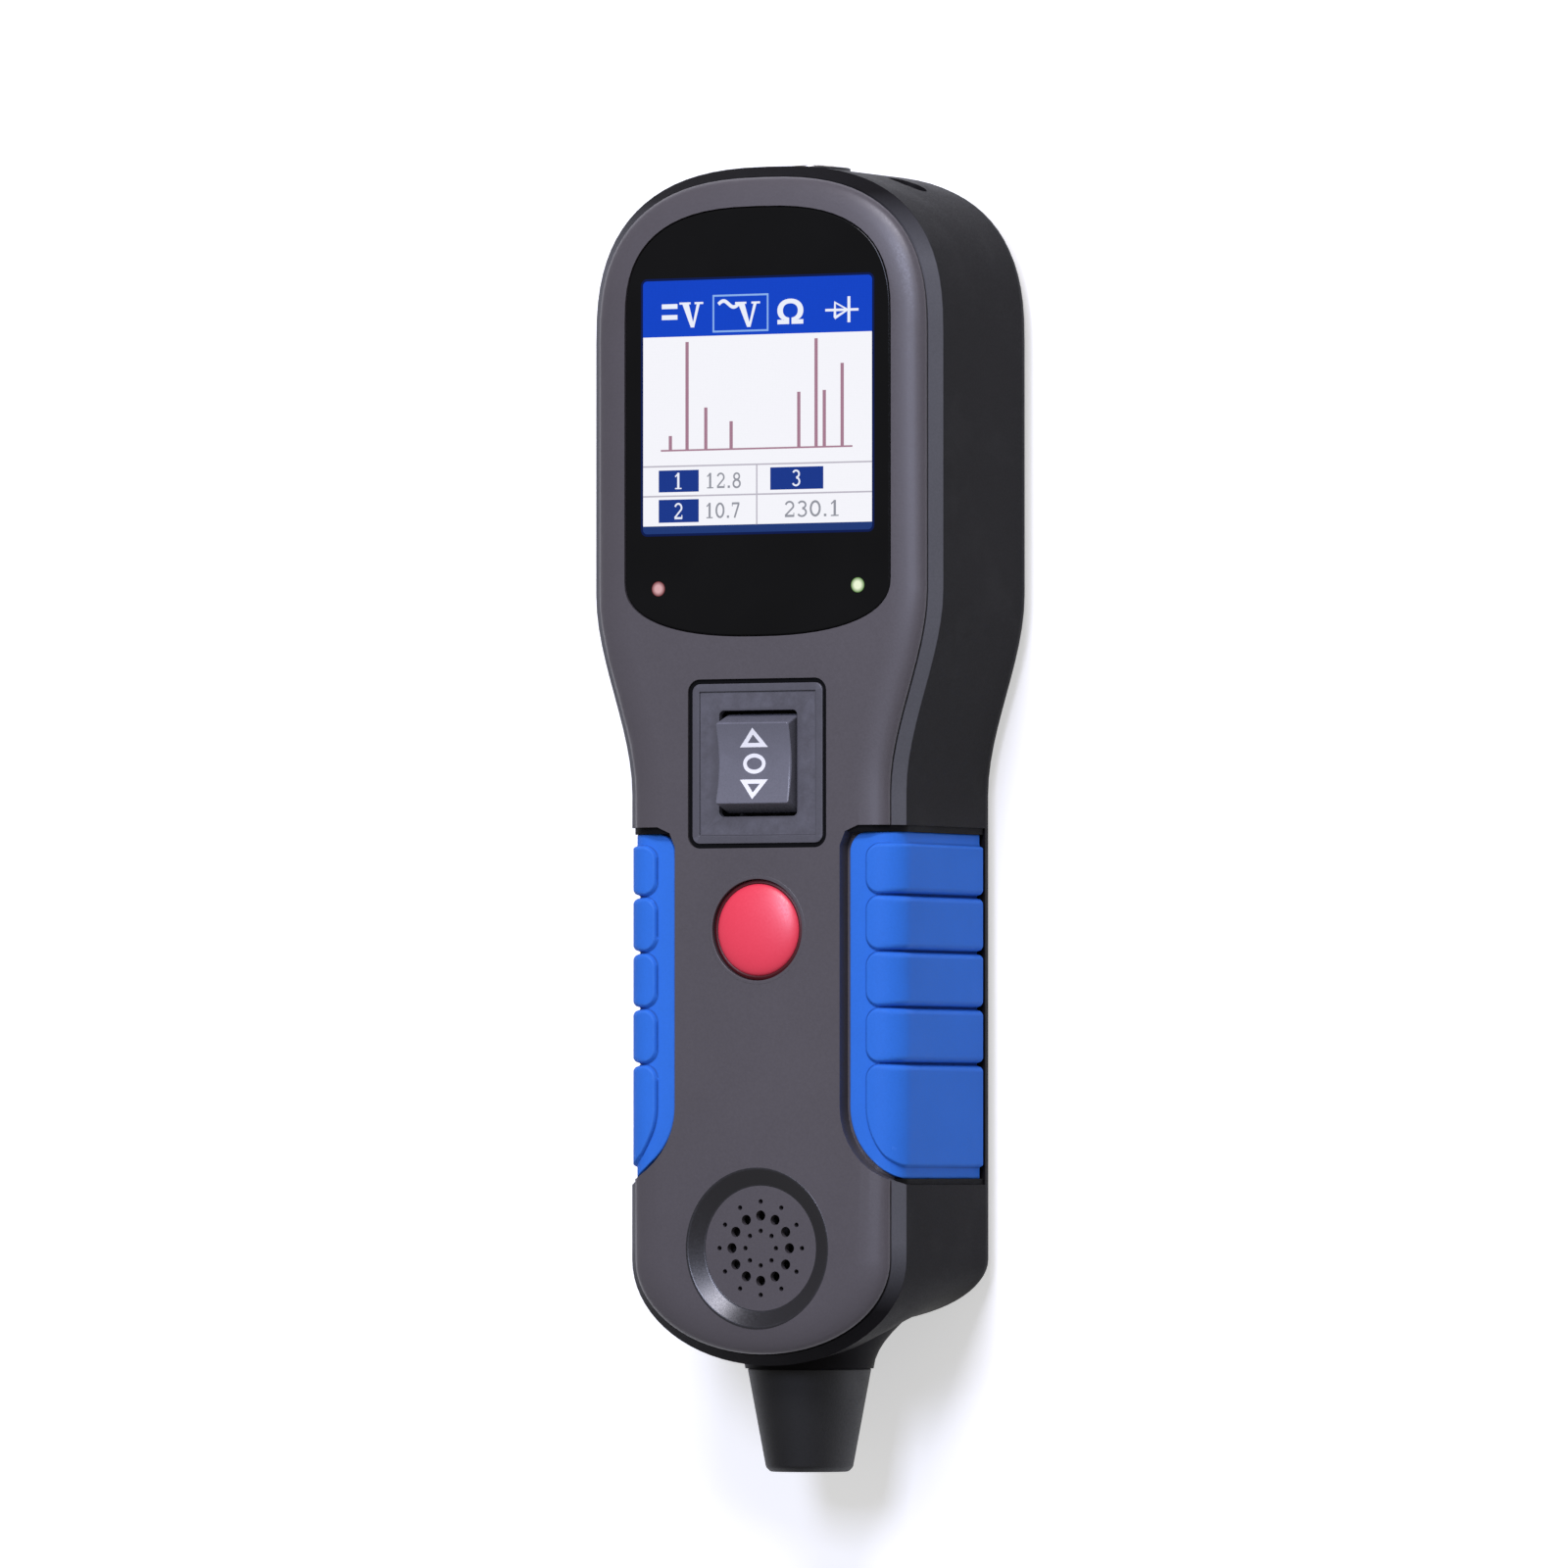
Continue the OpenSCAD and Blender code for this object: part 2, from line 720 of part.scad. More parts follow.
// Neck that flares from the round boot seat into the case
module neck() {
    difference() {
        loft([for (i = [-1:flare_steps]) let (t = max(0, i) / flare_steps, s = pow(t, flare_power),
                y = neck_end_y + (flare_start_at - neck_end_y) * t + min(0, i) * past,
                a = neck_r + (flare_w - neck_r) * s, b = neck_r + (flare_h - neck_r) * s)
            [for (j = [0:neck_steps - 1]) let (turn = 360 * j / neck_steps)
                [a * sin(turn), y, neck_z + b * cos(turn)]]]);
        block(3 * neck_r, 2 * past, 3 * neck_r, 0, neck_end_y - past, neck_z - 1.5 * neck_r);
    }
}

module rear_bosses() {
    for (p = case_bosses)
        post(boss_r, boss_split_z - back_wall + tiny, p[0], p[1], back_wall - tiny);
    for (p = board_bosses)
        post(board_post_r, board_z - back_wall + tiny, p[0], p[1], back_wall - tiny);
    for (x = [-1, 1])
        post(clamp_post_r, clamp_low_z - back_wall + tiny, x * clamp_span / 2, clamp_at, back_wall - tiny);
}

module rear_openings() {
    for (p = case_bosses) {
        post(head_bore_r, head_seat_z + past, p[0], p[1], -past);
        post(shank_bore_r, case_t, p[0], p[1], 0);
    }
    pilot_holes(board_bosses, board_z - 7, 8);
    pilot_holes([for (x = [-1, 1]) [x * clamp_span / 2, clamp_at]], clamp_low_z - 9, 10);
    along_y(neck_end_y - past, neck_z)
        cylinder(r = boot_waist_r + running, h = neck_wall + past + tiny);
    along_y(boot_seat_y, neck_z)
        cylinder(r = boot_flange_r + fit, h = clamp_at - clamp_post_r - 0.2 - boot_seat_y);
    along_y(collar_back_y, socket_z)
        cylinder(r = collar_body_r + running, h = 20);
    along_y(socket_seat_y, socket_z)
        cylinder(r = collar_r + fit, h = 5);
    along_y(collar_back_y, socket_z)
        cylinder(r = nut_flats / 2 / cos(30) + 0.6, h = socket_wall_y - collar_back_y);
    for (x = [-light_x, light_x]) {
        along_y(lens_back_y, socket_z, x)
            cylinder(r = lens_r + running, h = 12);
        along_y(lens_seat_y, socket_z, x)
            cylinder(r = lens_flange_r + fit, h = 12);
    }
}

module rear_cover() {
    color(rear_black)
        in_case()
            difference() {
                union() {
                    difference() {
                        union() {
                            rear_skin();
                            neck();
                        }
                        rear_hollow();
                    }
                    rear_bosses();
                    both_sides()
                        grip_stretch(grip_core_x - floor_t, grip_core_x, back_wall, floor_z, floor_t);
                }
                rear_openings();
                both_sides() {
                    grip_pocket();
                    grip_stretch(0, grip_core_x, floor_z, case_t, floor_t);
                }
            }
}

module grip_right() {
    color(grip_blue)
        in_case()
            grip_shell();
}

module grip_left() {
    color(grip_blue)
        in_case()
            mirror([1, 0, 0])
                grip_shell();
}

module display_window() {
    color(glass_black)
        in_case()
            slab(mirrored(window_half(0)), window_z, window_t);
}

module display_panel() {
    color([0.1, 0.3, 0.8])
        in_case()
            block(panel_w, panel_l, panel_t, 0, screen_y, panel_z);
}

module display_holder() {
    w = panel_w + 2 * fit + 2 * holder_wall;
    l = panel_l + 2 * fit + 2 * holder_wall;
    color("dimgray")
        in_case()
            difference() {
                block(w, l, foot_z - fit - display_top_z, 0, screen_y, display_top_z);
                block(panel_w + 2 * fit, panel_l + 2 * fit, case_t, 0, screen_y, panel_z);
                block(panel_w - 8, panel_l - 8, case_t, 0, screen_y, display_top_z - past);
            }
}

module display_board() {
    color(board_green)
        in_case()
            difference() {
                translate([0, 0, display_z])
                    linear_extrude(board_t)
                        union() {
                            translate([-display_w / 2, display_bottom])
                                square([display_w, display_top - display_bottom]);
                            translate([-display_tab_w / 2, display_top - tiny])
                                square([display_tab_w, display_tab_l + tiny]);
                        }
                for (p = display_bosses)
                    post(pilot_r + running, case_t, p[0], p[1], 0);
            }
}

module display_screws() {
    color(bright_steel)
        in_case()
            screws(display_bosses, display_z, display_screw_l);
}

module display_connector() {
    color("ivory")
        in_case()
            block(ribbon_w + 2, 5, connector_h, ribbon_x, ribbon_at, display_z - connector_h);
}

module board_connector() {
    color("ivory")
        in_case()
            block(ribbon_w + 2, 5, connector_h, ribbon_x, ribbon_at, board_top_z);
}

module display_ribbon() {
    low = board_top_z + connector_h;
    high = display_z - connector_h;
    curve = [for (i = [0:16]) [1.6 * sin(22.5 * i), low + (high - low) * i / 16]];
    color("darkorange")
        in_case()
            translate([ribbon_x - ribbon_w / 2, ribbon_at, 0])
                rotate([90, 0, 90])
                    linear_extrude(ribbon_w)
                        polygon(concat([for (p = curve) [p[0] - 0.15, p[1]]],
                            [for (i = [16:-1:0]) [curve[i][0] + 0.15, curve[i][1]]]));
}

module indicator(x) {
    in_case()
        translate([x, led_y, display_top_z])
            rotate_extrude()
                polygon(concat([[0, 0], [led_r + 0.3, 0], [led_r + 0.3, 0.8], [led_r, 0.8]],
                    [for (a = [0:15:90])
                        [led_r * cos(a), led_tip_z - display_top_z - led_r + led_r * sin(a)]]));
}

module led_red() {
    color("firebrick")
        indicator(-led_span / 2);
}

module led_green() {
    color("yellowgreen")
        indicator(led_span / 2);
}

module switch_plate() {
    color([0.36, 0.35, 0.38])
        in_case()
            translate([0, switch_y, plate_z])
                difference() {
                    rounded_box(plate_w, plate_l, plate_t, plate_corner);
                    translate([0, 0, plate_t - 0.3])
                        rounded_box(plate_w - 2 * plate_rim_w, plate_l - 2 * plate_rim_w, 1, 0.8);
                    translate([0, 0, -past])
                        rounded_box(rocker_w, rocker_l, plate_t + 2 * past, 0.9);
                }
}

// Rocker seen from its side, with y from its middle and z from its pivot
function rocker_profile() = let (
        top = rocker_top_z - pivot_z,
        base = rocker_base_z - pivot_z)
    concat([for (i = [-8:8]) let (y = rocker_crest * i / 8)
            [y, top - rocker_dish * (1 - pow(i / 8, 2))]],
        [[rocker_half, 1], [rocker_half, 0.2], [rocker_half - rocker_tuck, base],
            [rocker_tuck - rocker_half, base], [-rocker_half, 0.2], [-rocker_half, 1]]);

module rocker() {
    width = rocker_w - 2 * side_gap;
    color([0.46, 0.46, 0.5])
        in_case()
            translate([0, switch_y, pivot_z])
                rotate([90, 0, 90])
                    union() {
                        translate([0, 0, -width / 2])
                            linear_extrude(width)
                                polygon(rocker_profile());
                        translate([0, 0, -width / 2 - side_gap - trunnion_r])
                            cylinder(r = trunnion_r, h = width + 2 * side_gap + 2 * trunnion_r);
                    }
}

module switch_body() {
    color([0.12, 0.12, 0.13])
        in_case()
            difference() {
                block(body_w, body_l, plate_z - body_low_z, 0, switch_y, body_low_z);
                block(rocker_w, rocker_l, case_t, 0, switch_y, body_pit_z);
                translate([-body_w, switch_y, pivot_z])
                    rotate([0, 90, 0])
                        cylinder(r = trunnion_r + running, h = 2 * body_w);
            }
}

module switch_terminals() {
    color(brass_gold)
        in_case()
            for (y = [-6, 0, 6])
                block(4.8, 0.8, body_low_z - board_top_z, 0, switch_y + y, board_top_z);
}

module button_cap() {
    dome = button_dome + 0.8;
    rim = case_t + button_dome - dome;
    color([0.88, 0.25, 0.33])
        in_case()
            translate([0, button_y, 0])
                rotate_extrude()
                    polygon(concat([[0, button_post_z], [2, button_post_z], [2, flange_top_z - flange_t],
                            [button_hole_r + 1.5, flange_top_z - flange_t],
                            [button_hole_r + 1.5, flange_top_z],
                            [guide_r, flange_top_z], [guide_r, rim - guide_drop],
                            [button_r, rim - guide_drop]],
                        [for (a = [0:10:90]) [button_r * cos(a), rim + dome * sin(a)]]));
}

module button_board() {
    color(board_green)
        in_case()
            difference() {
                block(12, button_boss_span + 7, board_t, 0, button_y, button_low_z);
                for (p = button_bosses)
                    post(pilot_r + running, case_t, p[0], p[1], 0);
            }
}

module tact_switch() {
    color("silver")
        in_case()
            union() {
                block(6, 6, tact_h, 0, button_y, button_board_top);
                post(1.75, plunger_h + tiny, 0, button_y, button_board_top + tact_h - tiny);
            }
}

module button_screws() {
    color(bright_steel)
        in_case()
            screws(button_bosses, button_low_z, board_screw_l);
}

module button_header() {
    color("black")
        in_case()
            block(8, 2.5, button_low_z - board_top_z, 0, header_at, board_top_z);
}

module at_speaker(z) {
    in_case()
        translate([0, speaker_at, z])
            children();
}

module speaker_gasket() {
    color("black")
        at_speaker(gasket_z)
            difference() {
                cylinder(r = speaker_r, h = gasket_t);
                translate([0, 0, -past])
                    cylinder(r = speaker_r - 1.8, h = gasket_t + 2 * past);
            }
}

module speaker_basket() {
    color(bright_steel)
        at_speaker(basket_z - basket_deep)
            rotate_extrude()
                polygon([[2, 0], [basket_r, 0], [basket_r, basket_deep], [speaker_r, basket_deep],
                    [speaker_r, basket_deep + basket_flange_t],
                    [basket_r - 0.8, basket_deep + basket_flange_t],
                    [basket_r - 0.8, 0.8], [2, 0.8]]);
}

module speaker_cone() {
    edge = basket_r + 0.8;
    color("black")
        at_speaker(gasket_z)
            rotate_extrude()
                polygon([[0, -3.2], [2.4, -3.8], [2.8, -3.8], [basket_r - 1.6, 0], [edge, 0], [edge, 0.3],
                    [basket_r - 1.8, 0.3], [2.6, -3.4], [0, -2.8]]);
}

module speaker_magnet() {
    color("gray")
        at_speaker(basket_z - basket_deep - magnet_t)
            difference() {
                cylinder(r = magnet_r, h = magnet_t);
                translate([0, 0, -past])
                    cylinder(r = 1.2, h = magnet_t + 2 * past);
            }
}

module speaker_clamp() {
    color(bright_steel)
        in_case()
            difference() {
                union() {
                    post(speaker_r, clamp_t, 0, speaker_at, basket_z - clamp_t);
                    block(2 * clamp_ear, 5, clamp_t, 0, speaker_at, basket_z - clamp_t);
                    for (p = speaker_bosses)
                        post(2.5, clamp_t, p[0], p[1], basket_z - clamp_t);
                }
                post(basket_r + running, case_t, 0, speaker_at, 0);
                for (p = speaker_bosses)
                    post(pilot_r + running, case_t, p[0], p[1], 0);
            }
}

module speaker_screws() {
    color(bright_steel)
        in_case()
            screws(speaker_bosses, basket_z - clamp_t, speaker_screw_l);
}

module main_board() {
    color(board_green)
        in_case()
            difference() {
                block(board_w, board_high - board_low, board_t, 0, (board_high + board_low) / 2, board_z);
                for (p = board_bosses)
                    post(pilot_r + running, case_t, p[0], p[1], 0);
            }
}

module board_screws() {
    color(bright_steel)
        in_case()
            screws(board_bosses, board_top_z, board_screw_l, turned = true);
}

module relay() {
    color("mediumblue")
        in_case()
            block(relay_size[0], relay_size[1], relay_size[2], 0, relay_y, board_top_z);
}

module controller_chip() {
    color([0.1, 0.1, 0.11])
        in_case()
            block(chip_w, chip_w, chip_h, 0, chip_y, board_top_z);
}

module capacitors() {
    color("darkslateblue")
        in_case()
            for (y = [0, cap_pitch])
                post(cap_r, cap_h, cap_x, cap_y + y, board_top_z);
}

module lead_terminal() {
    color("seagreen")
        in_case()
            difference() {
                block(terminal_size[0], terminal_size[1], terminal_size[2], 0, terminal_y,
                    board_top_z);
                for (x = [-wire_span / 2, wire_span / 2])
                    along_y(terminal_y - 5, board_top_z + 4, x)
                        cylinder(r = wire_hole_r, h = 7);
            }
}

module case_screws() {
    color(bright_steel)
        in_case()
            screws(case_bosses, head_seat_z, case_screw_l);
}

module socket_collar() {
    color("black")
        in_case()
            along_y(0, socket_z)
                rotate_extrude()
                    polygon([[socket_r + running, collar_back_y], [collar_body_r, collar_back_y],
                        [collar_body_r, socket_seat_y], [collar_r, socket_seat_y],
                        [collar_r, socket_seat_y + collar_head_t - 0.4],
                        [collar_r - 0.4, socket_seat_y + collar_head_t],
                        [socket_r + running, socket_seat_y + collar_head_t]]);
}

module probe_socket() {
    color(brass_gold)
        in_case()
            along_y(0, socket_z)
                rotate_extrude()
                    polygon([[0, socket_back_y], [socket_r, socket_back_y],
                        [socket_r, collar_back_y - socket_flange_t],
                        [socket_flange_r, collar_back_y - socket_flange_t],
                        [socket_flange_r, collar_back_y], [socket_r, collar_back_y],
                        [socket_r, socket_tip_y - 0.3], [socket_r - 0.3, socket_tip_y],
                        [probe_d / 2, socket_tip_y], [probe_d / 2, socket_tip_y - probe_deep],
                        [0, socket_tip_y - probe_deep]]);
}

module socket_nut() {
    color(bright_steel)
        in_case()
            along_y(socket_wall_y - nut_t, socket_z)
                difference() {
                    cylinder(r = nut_flats / 2 / cos(30), h = nut_t, $fn = 6);
                    translate([0, 0, -past])
                        cylinder(r = collar_body_r + running, h = nut_t + 2 * past);
                }
}

module probe_tag() {
    color(brass_gold)
        in_case()
            block(8, 1.2, socket_z + 3 - board_top_z, 0, socket_back_y - 0.6, board_top_z);
}

module light_lens(x) {
    color("whitesmoke")
        in_case()
            along_y(0, socket_z, x)
                rotate_extrude()
                    polygon(concat([[0, lens_back_y], [lens_r, lens_back_y], [lens_r, lens_seat_y],
                            [lens_flange_r, lens_seat_y], [lens_flange_r, lens_seat_y + 0.5]],
                        [for (a = [0:15:90]) [lens_r * cos(a), lens_seat_y + 0.5 + 0.8 * sin(a)]]));
}

module light_lens_left() {
    light_lens(-light_x);
}

module light_lens_right() {
    light_lens(light_x);
}

module light_led(x) {
    color("ivory")
        in_case()
            union() {
                along_y(lens_back_y - 11, socket_z, x)
                    cylinder(r = 2.4, h = 11);
                block(4, 4, socket_z - board_top_z, x * 0.96, lens_back_y - 12.9, board_top_z);
                block(4, 4, 4, x * 0.96, lens_back_y - 12.9, socket_z - 2);
            }
}

module light_led_left() {
    light_led(-light_x);
}

module light_led_right() {
    light_led(light_x);
}

module cable_boot() {
    color([0.08, 0.08, 0.08])
        in_case()
            along_y(0, neck_z)
                rotate_extrude()
                    polygon([[cable_r, boot_end_y], [boot_tip_r - 0.8, boot_end_y],
                            [boot_tip_r, boot_end_y + 0.8],
                        [neck_r - 0.4, neck_end_y], [boot_waist_r, neck_end_y], [boot_waist_r, boot_seat_y],
                        [boot_flange_r, boot_seat_y], [boot_flange_r, boot_seat_y + boot_flange_t],
                        [cable_r, boot_seat_y + boot_flange_t]]);
}

module cable_clamp() {
    color(bright_steel)
        in_case()
            difference() {
                block(clamp_span + 5, 5, clamp_bar_t, 0, clamp_at, clamp_low_z);
                along_y(clamp_at - 5, neck_z)
                    cylinder(r = cable_r, h = 10);
                for (x = [-1, 1])
                    post(pilot_r + running, case_t, x * clamp_span / 2, clamp_at, 0);
            }
}

module clamp_screws() {
    color(bright_steel)
        in_case()
            screws([for (x = [-1, 1]) [x * clamp_span / 2, clamp_at]], clamp_low_z + clamp_bar_t, 12,
                turned = true);
}

front_cover();
rear_cover();
grip_left();
grip_right();
display_window();
display_panel();
display_holder();
display_board();
display_screws();
display_connector();
display_ribbon();
board_connector();
led_red();
led_green();
switch_plate();
rocker();
switch_body();
switch_terminals();
button_cap();
button_board();
tact_switch();
button_screws();
button_header();
speaker_gasket();
speaker_basket();
speaker_cone();
speaker_magnet();
speaker_clamp();
speaker_screws();
main_board();
board_screws();
relay();
controller_chip();
capacitors();
lead_terminal();
case_screws();
socket_collar();
probe_socket();
socket_nut();
probe_tag();
light_lens_left();
light_lens_right();
light_led_left();
light_led_right();
cable_boot();
cable_clamp();
clamp_screws();
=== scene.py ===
"""Looks of a handheld automotive circuit tester that lies on its back.

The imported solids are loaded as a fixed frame. Finer skins are laid over them, and every visible
surface gets its own finish.
"""
import math

import bpy
import bmesh
import numpy as np
from mathutils import Matrix, Vector


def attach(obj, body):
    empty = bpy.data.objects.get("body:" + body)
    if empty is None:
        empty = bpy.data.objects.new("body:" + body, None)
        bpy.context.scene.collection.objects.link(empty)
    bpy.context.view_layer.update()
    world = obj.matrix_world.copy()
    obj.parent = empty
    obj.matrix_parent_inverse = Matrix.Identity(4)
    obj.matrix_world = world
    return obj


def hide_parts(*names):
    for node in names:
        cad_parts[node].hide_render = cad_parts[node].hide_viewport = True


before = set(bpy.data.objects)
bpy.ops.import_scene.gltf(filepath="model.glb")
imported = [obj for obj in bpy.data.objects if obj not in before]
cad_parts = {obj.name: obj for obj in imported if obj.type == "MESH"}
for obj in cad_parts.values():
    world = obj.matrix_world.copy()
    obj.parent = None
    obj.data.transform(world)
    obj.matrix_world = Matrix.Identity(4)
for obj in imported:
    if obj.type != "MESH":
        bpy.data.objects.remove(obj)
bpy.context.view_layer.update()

MM = 0.001
MIDDLE = 93.4  # height of the frame's origin above the front cover's lowest point, in mm
SCREEN_Y = 71.3
WINDOW_TOP = 38.9


# ---------------------------------------------------------------- mesh helpers
def finish_mesh(name, points, faces, finish, body="case", stands_for=(), slot=None, sharp=35.0):
    """A piece from points in mm and faces. Doubles are merged, normals turned outward, and edges
    steeper than the sharp angle stay crisp while the rest is shaded smooth."""
    mesh = bpy.data.meshes.new(name)
    mesh.from_pydata((np.asarray(points, float) * MM).tolist(), [], faces)
    work = bmesh.new()
    work.from_mesh(mesh)
    bmesh.ops.remove_doubles(work, verts=work.verts, dist=2e-7)
    bmesh.ops.dissolve_degenerate(work, edges=work.edges, dist=1e-8)
    bmesh.ops.recalc_face_normals(work, faces=work.faces)
    work.to_mesh(mesh)
    work.free()
    mesh.shade_smooth()
    mesh.set_sharp_from_angle(angle=math.radians(sharp))
    mesh.materials.append(finish)
    piece = bpy.data.objects.new(name, mesh)
    bpy.context.scene.collection.objects.link(piece)
    broad_faces_lead(piece)
    if stands_for:
        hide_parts(*stands_for)
    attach(piece, body)
    return piece


def broad_faces_lead(piece):
    """Normals weighted by face area, so that flat faces stay flat beside small rounded edges."""
    even = piece.modifiers.new("even_normals", "WEIGHTED_NORMAL")
    even.keep_sharp = True
    even.weight = 90


def ring_faces(rows, columns):
    """Quads between neighbouring closed rings, as an array of index rows."""
    r, c = np.meshgrid(np.arange(rows - 1), np.arange(columns), indexing="ij")
    nxt = (c + 1) % columns
    a, b = r * columns + c, r * columns + nxt
    quads = np.stack([a, b, b + columns, a + columns], axis=-1)
    return quads.reshape(-1, 4).tolist()


def ringed(name, rings, finish, caps=(True, True), **words):
    """A skin over closed rings of equal count: row k of the array is ring k. A cap closes an end
    with one flat face."""
    rings = np.asarray(rings, float)
    rows, columns = rings.shape[:2]
    faces = ring_faces(rows, columns)
    if caps[0]:
        faces.append(list(range(columns - 1, -1, -1)))
    if caps[1]:
        faces.append(list(range((rows - 1) * columns, rows * columns)))
    return finish_mesh(name, rings.reshape(-1, 3), faces, finish, **words)


def filleted(corners, radius, steps=5):
    """An open profile whose inner corners are replaced by short arcs: each arc is the quadratic
    curve from radius before the corner to radius after it, with the corner as its control."""
    p = np.asarray(corners, float)
    before, at, after = p[:-2], p[1:-1], p[2:]
    cut_in = np.minimum(radius, 0.45 * np.linalg.norm(at - before, axis=1))[:, None]
    cut_out = np.minimum(radius, 0.45 * np.linalg.norm(after - at, axis=1))[:, None]
    start = at + (before - at) / np.linalg.norm(before - at, axis=1)[:, None] * cut_in
    end = at + (after - at) / np.linalg.norm(after - at, axis=1)[:, None] * cut_out
    t = np.linspace(0, 1, steps + 1)[None, :, None]
    arcs = (1 - t) ** 2 * start[:, None] + 2 * t * (1 - t) * at[:, None] + t**2 * end[:, None]
    return np.vstack([p[:1], arcs.reshape(-1, 2), p[-1:]])


def turned(name, profile, finish, centre, along="z", steps=96, radius=0.2, **words):
    """A body of revolution: the profile's (radius, height) points are filleted and swept once
    round the axis through centre. A point at radius 0 closes the pole."""
    profile = filleted(profile, radius)
    turn = np.linspace(0, 2 * np.pi, steps, endpoint=False)
    r, h = profile[:, 0][:, None], profile[:, 1][:, None]
    across, over = r * np.cos(turn), r * np.sin(turn)
    height = np.broadcast_to(h, across.shape)
    if along == "z":
        rings = np.stack([across, over, height], axis=-1)
    else:
        rings = np.stack([across, height, -over], axis=-1)
    return ringed(name, rings + np.asarray(centre, float), finish, caps=(False, False), **words)


def turned_closed(name, profile, finish, centre, along="z", **words):
    """A ring of revolution whose profile is a closed loop, such as a washer with rounded edges."""
    loop = list(profile) + [profile[0], profile[1]]
    middle = (np.asarray(profile[0], float) + np.asarray(profile[1], float)) / 2
    loop = [tuple(middle)] + loop[1:-1] + [tuple(middle)]
    return turned(name, loop, finish, centre, along, **words)


def round_rectangle(width, length, radius, steps=10):
    """Closed outline of a rectangle with rounded corners, counter-clockwise, as (n, 2) points."""
    turn = np.linspace(0, np.pi / 2, steps)
    corners = []
    for k, (sx, sy) in enumerate([(1, 1), (-1, 1), (-1, -1), (1, -1)]):
        a = turn + k * np.pi / 2
        corners.append(np.stack([sx * (width / 2 - radius) + radius * np.cos(a),
                                 sy * (length / 2 - radius) + radius * np.sin(a)], axis=-1))
    return np.vstack(corners)


def flat_slab(name, outline, low, high, finish, **words):
    """A thin plate of one outline between two heights, both faces closed."""
    outline = np.asarray(outline, float)
    ring = np.column_stack([outline, np.zeros(len(outline))])
    return ringed(name, [ring + [0, 0, low], ring + [0, 0, high]], finish, **words)


def smooth(t):
    """Smooth step from 0 to 1: 3 t squared less 2 t cubed, with t held between 0 and 1."""
    t = np.clip(t, 0, 1)
    return t * t * (3 - 2 * t)


def skinned_node(node, finish, sharp=28.0, crisp_near=None):
    """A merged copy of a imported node, shaded smooth except over sharp edges, with large faces
    leading the normals. Around the point (x, y, reach) even shallow edges stay crisp. It stands
    for the node."""
    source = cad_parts[node].data
    count = len(source.vertices)
    points = np.empty(count * 3)
    source.vertices.foreach_get("co", points)
    points = points.reshape(-1, 3)
    loops = np.empty(len(source.loops), np.int64)
    source.loops.foreach_get("vertex_index", loops)
    _, first, back = np.unique(np.round(points / 2e-7).astype(np.int64), axis=0,
                               return_index=True, return_inverse=True)
    merged = points[first]
    triangles = back.ravel()[loops].reshape(-1, 3)
    whole = ((triangles[:, 0] != triangles[:, 1]) & (triangles[:, 1] != triangles[:, 2])
             & (triangles[:, 0] != triangles[:, 2]))
    mesh = bpy.data.meshes.new(node + "_skin")
    mesh.from_pydata(merged.tolist(), [], triangles[whole].tolist())
    mesh.shade_smooth()
    if crisp_near:
        mesh.set_sharp_from_angle(angle=math.radians(16.0))
        away = merged[:, :2] - np.array(crisp_near[:2]) * MM
        near = np.hypot(away[:, 0], away[:, 1]) < crisp_near[2] * MM
        ends = np.empty(len(mesh.edges) * 2, np.int64)
        mesh.edges.foreach_get("vertices", ends)
        local = near[ends.reshape(-1, 2)].all(axis=1)
        crisp = np.empty(len(mesh.edges), bool)
        mesh.attributes["sharp_edge"].data.foreach_get("value", crisp)
        local &= crisp
        mesh.set_sharp_from_angle(angle=math.radians(sharp))
        mesh.attributes["sharp_edge"].data.foreach_get("value", crisp)
        mesh.attributes["sharp_edge"].data.foreach_set("value", crisp | local)
    else:
        mesh.set_sharp_from_angle(angle=math.radians(sharp))
    mesh.materials.append(finish)
    piece = bpy.data.objects.new(node + "_skin", mesh)
    bpy.context.scene.collection.objects.link(piece)
    broad_faces_lead(piece)
    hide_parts(node)
    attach(piece, "case")
    return piece


# ---------------------------------------------------------------- finishes
def linear(r, g, b):
    """An sRGB colour of 0 to 255 as linear values with alpha 1."""
    c = np.array([r, g, b], float) / 255
    low = c / 12.92
    high = ((c + 0.055) / 1.055) ** 2.4
    return (*np.where(c <= 0.04045, low, high).tolist(), 1.0)


def new_group(name, inputs, outputs):
    """An empty shader node group with float or colour sockets of the given names and defaults."""
    group = bpy.data.node_groups.new(name, "ShaderNodeTree")
    for label, value in inputs.items():
        colour = isinstance(value, tuple)
        socket = group.interface.new_socket(label, in_out="INPUT",
                                            socket_type="NodeSocketColor" if colour else "NodeSocketFloat")
        socket.default_value = value
    for label, kind in outputs.items():
        group.interface.new_socket(label, in_out="OUTPUT", socket_type=kind)
    start, end = group.nodes.new("NodeGroupInput"), group.nodes.new("NodeGroupOutput")
    return group, group.nodes, group.links, start, end


def noise(nodes, links, place, scale, detail=3.0, rough=0.5):
    """A noise texture read at object coordinates, with its scale set or linked."""
    node = nodes.new("ShaderNodeTexNoise")
    node.inputs["Detail"].default_value = detail
    node.inputs["Roughness"].default_value = rough
    links.new(place, node.inputs["Vector"])
    if isinstance(scale, float):
        node.inputs["Scale"].default_value = scale
    else:
        links.new(scale, node.inputs["Scale"])
    return node


def arithmetic(nodes, links, operation, a, b):
    """A math node on two values, each a number or a socket."""
    node = nodes.new("ShaderNodeMath")
    node.operation = operation
    for k, value in enumerate((a, b)):
        if isinstance(value, (int, float)):
            node.inputs[k].default_value = value
        else:
            links.new(value, node.inputs[k])
    return node.outputs[0]


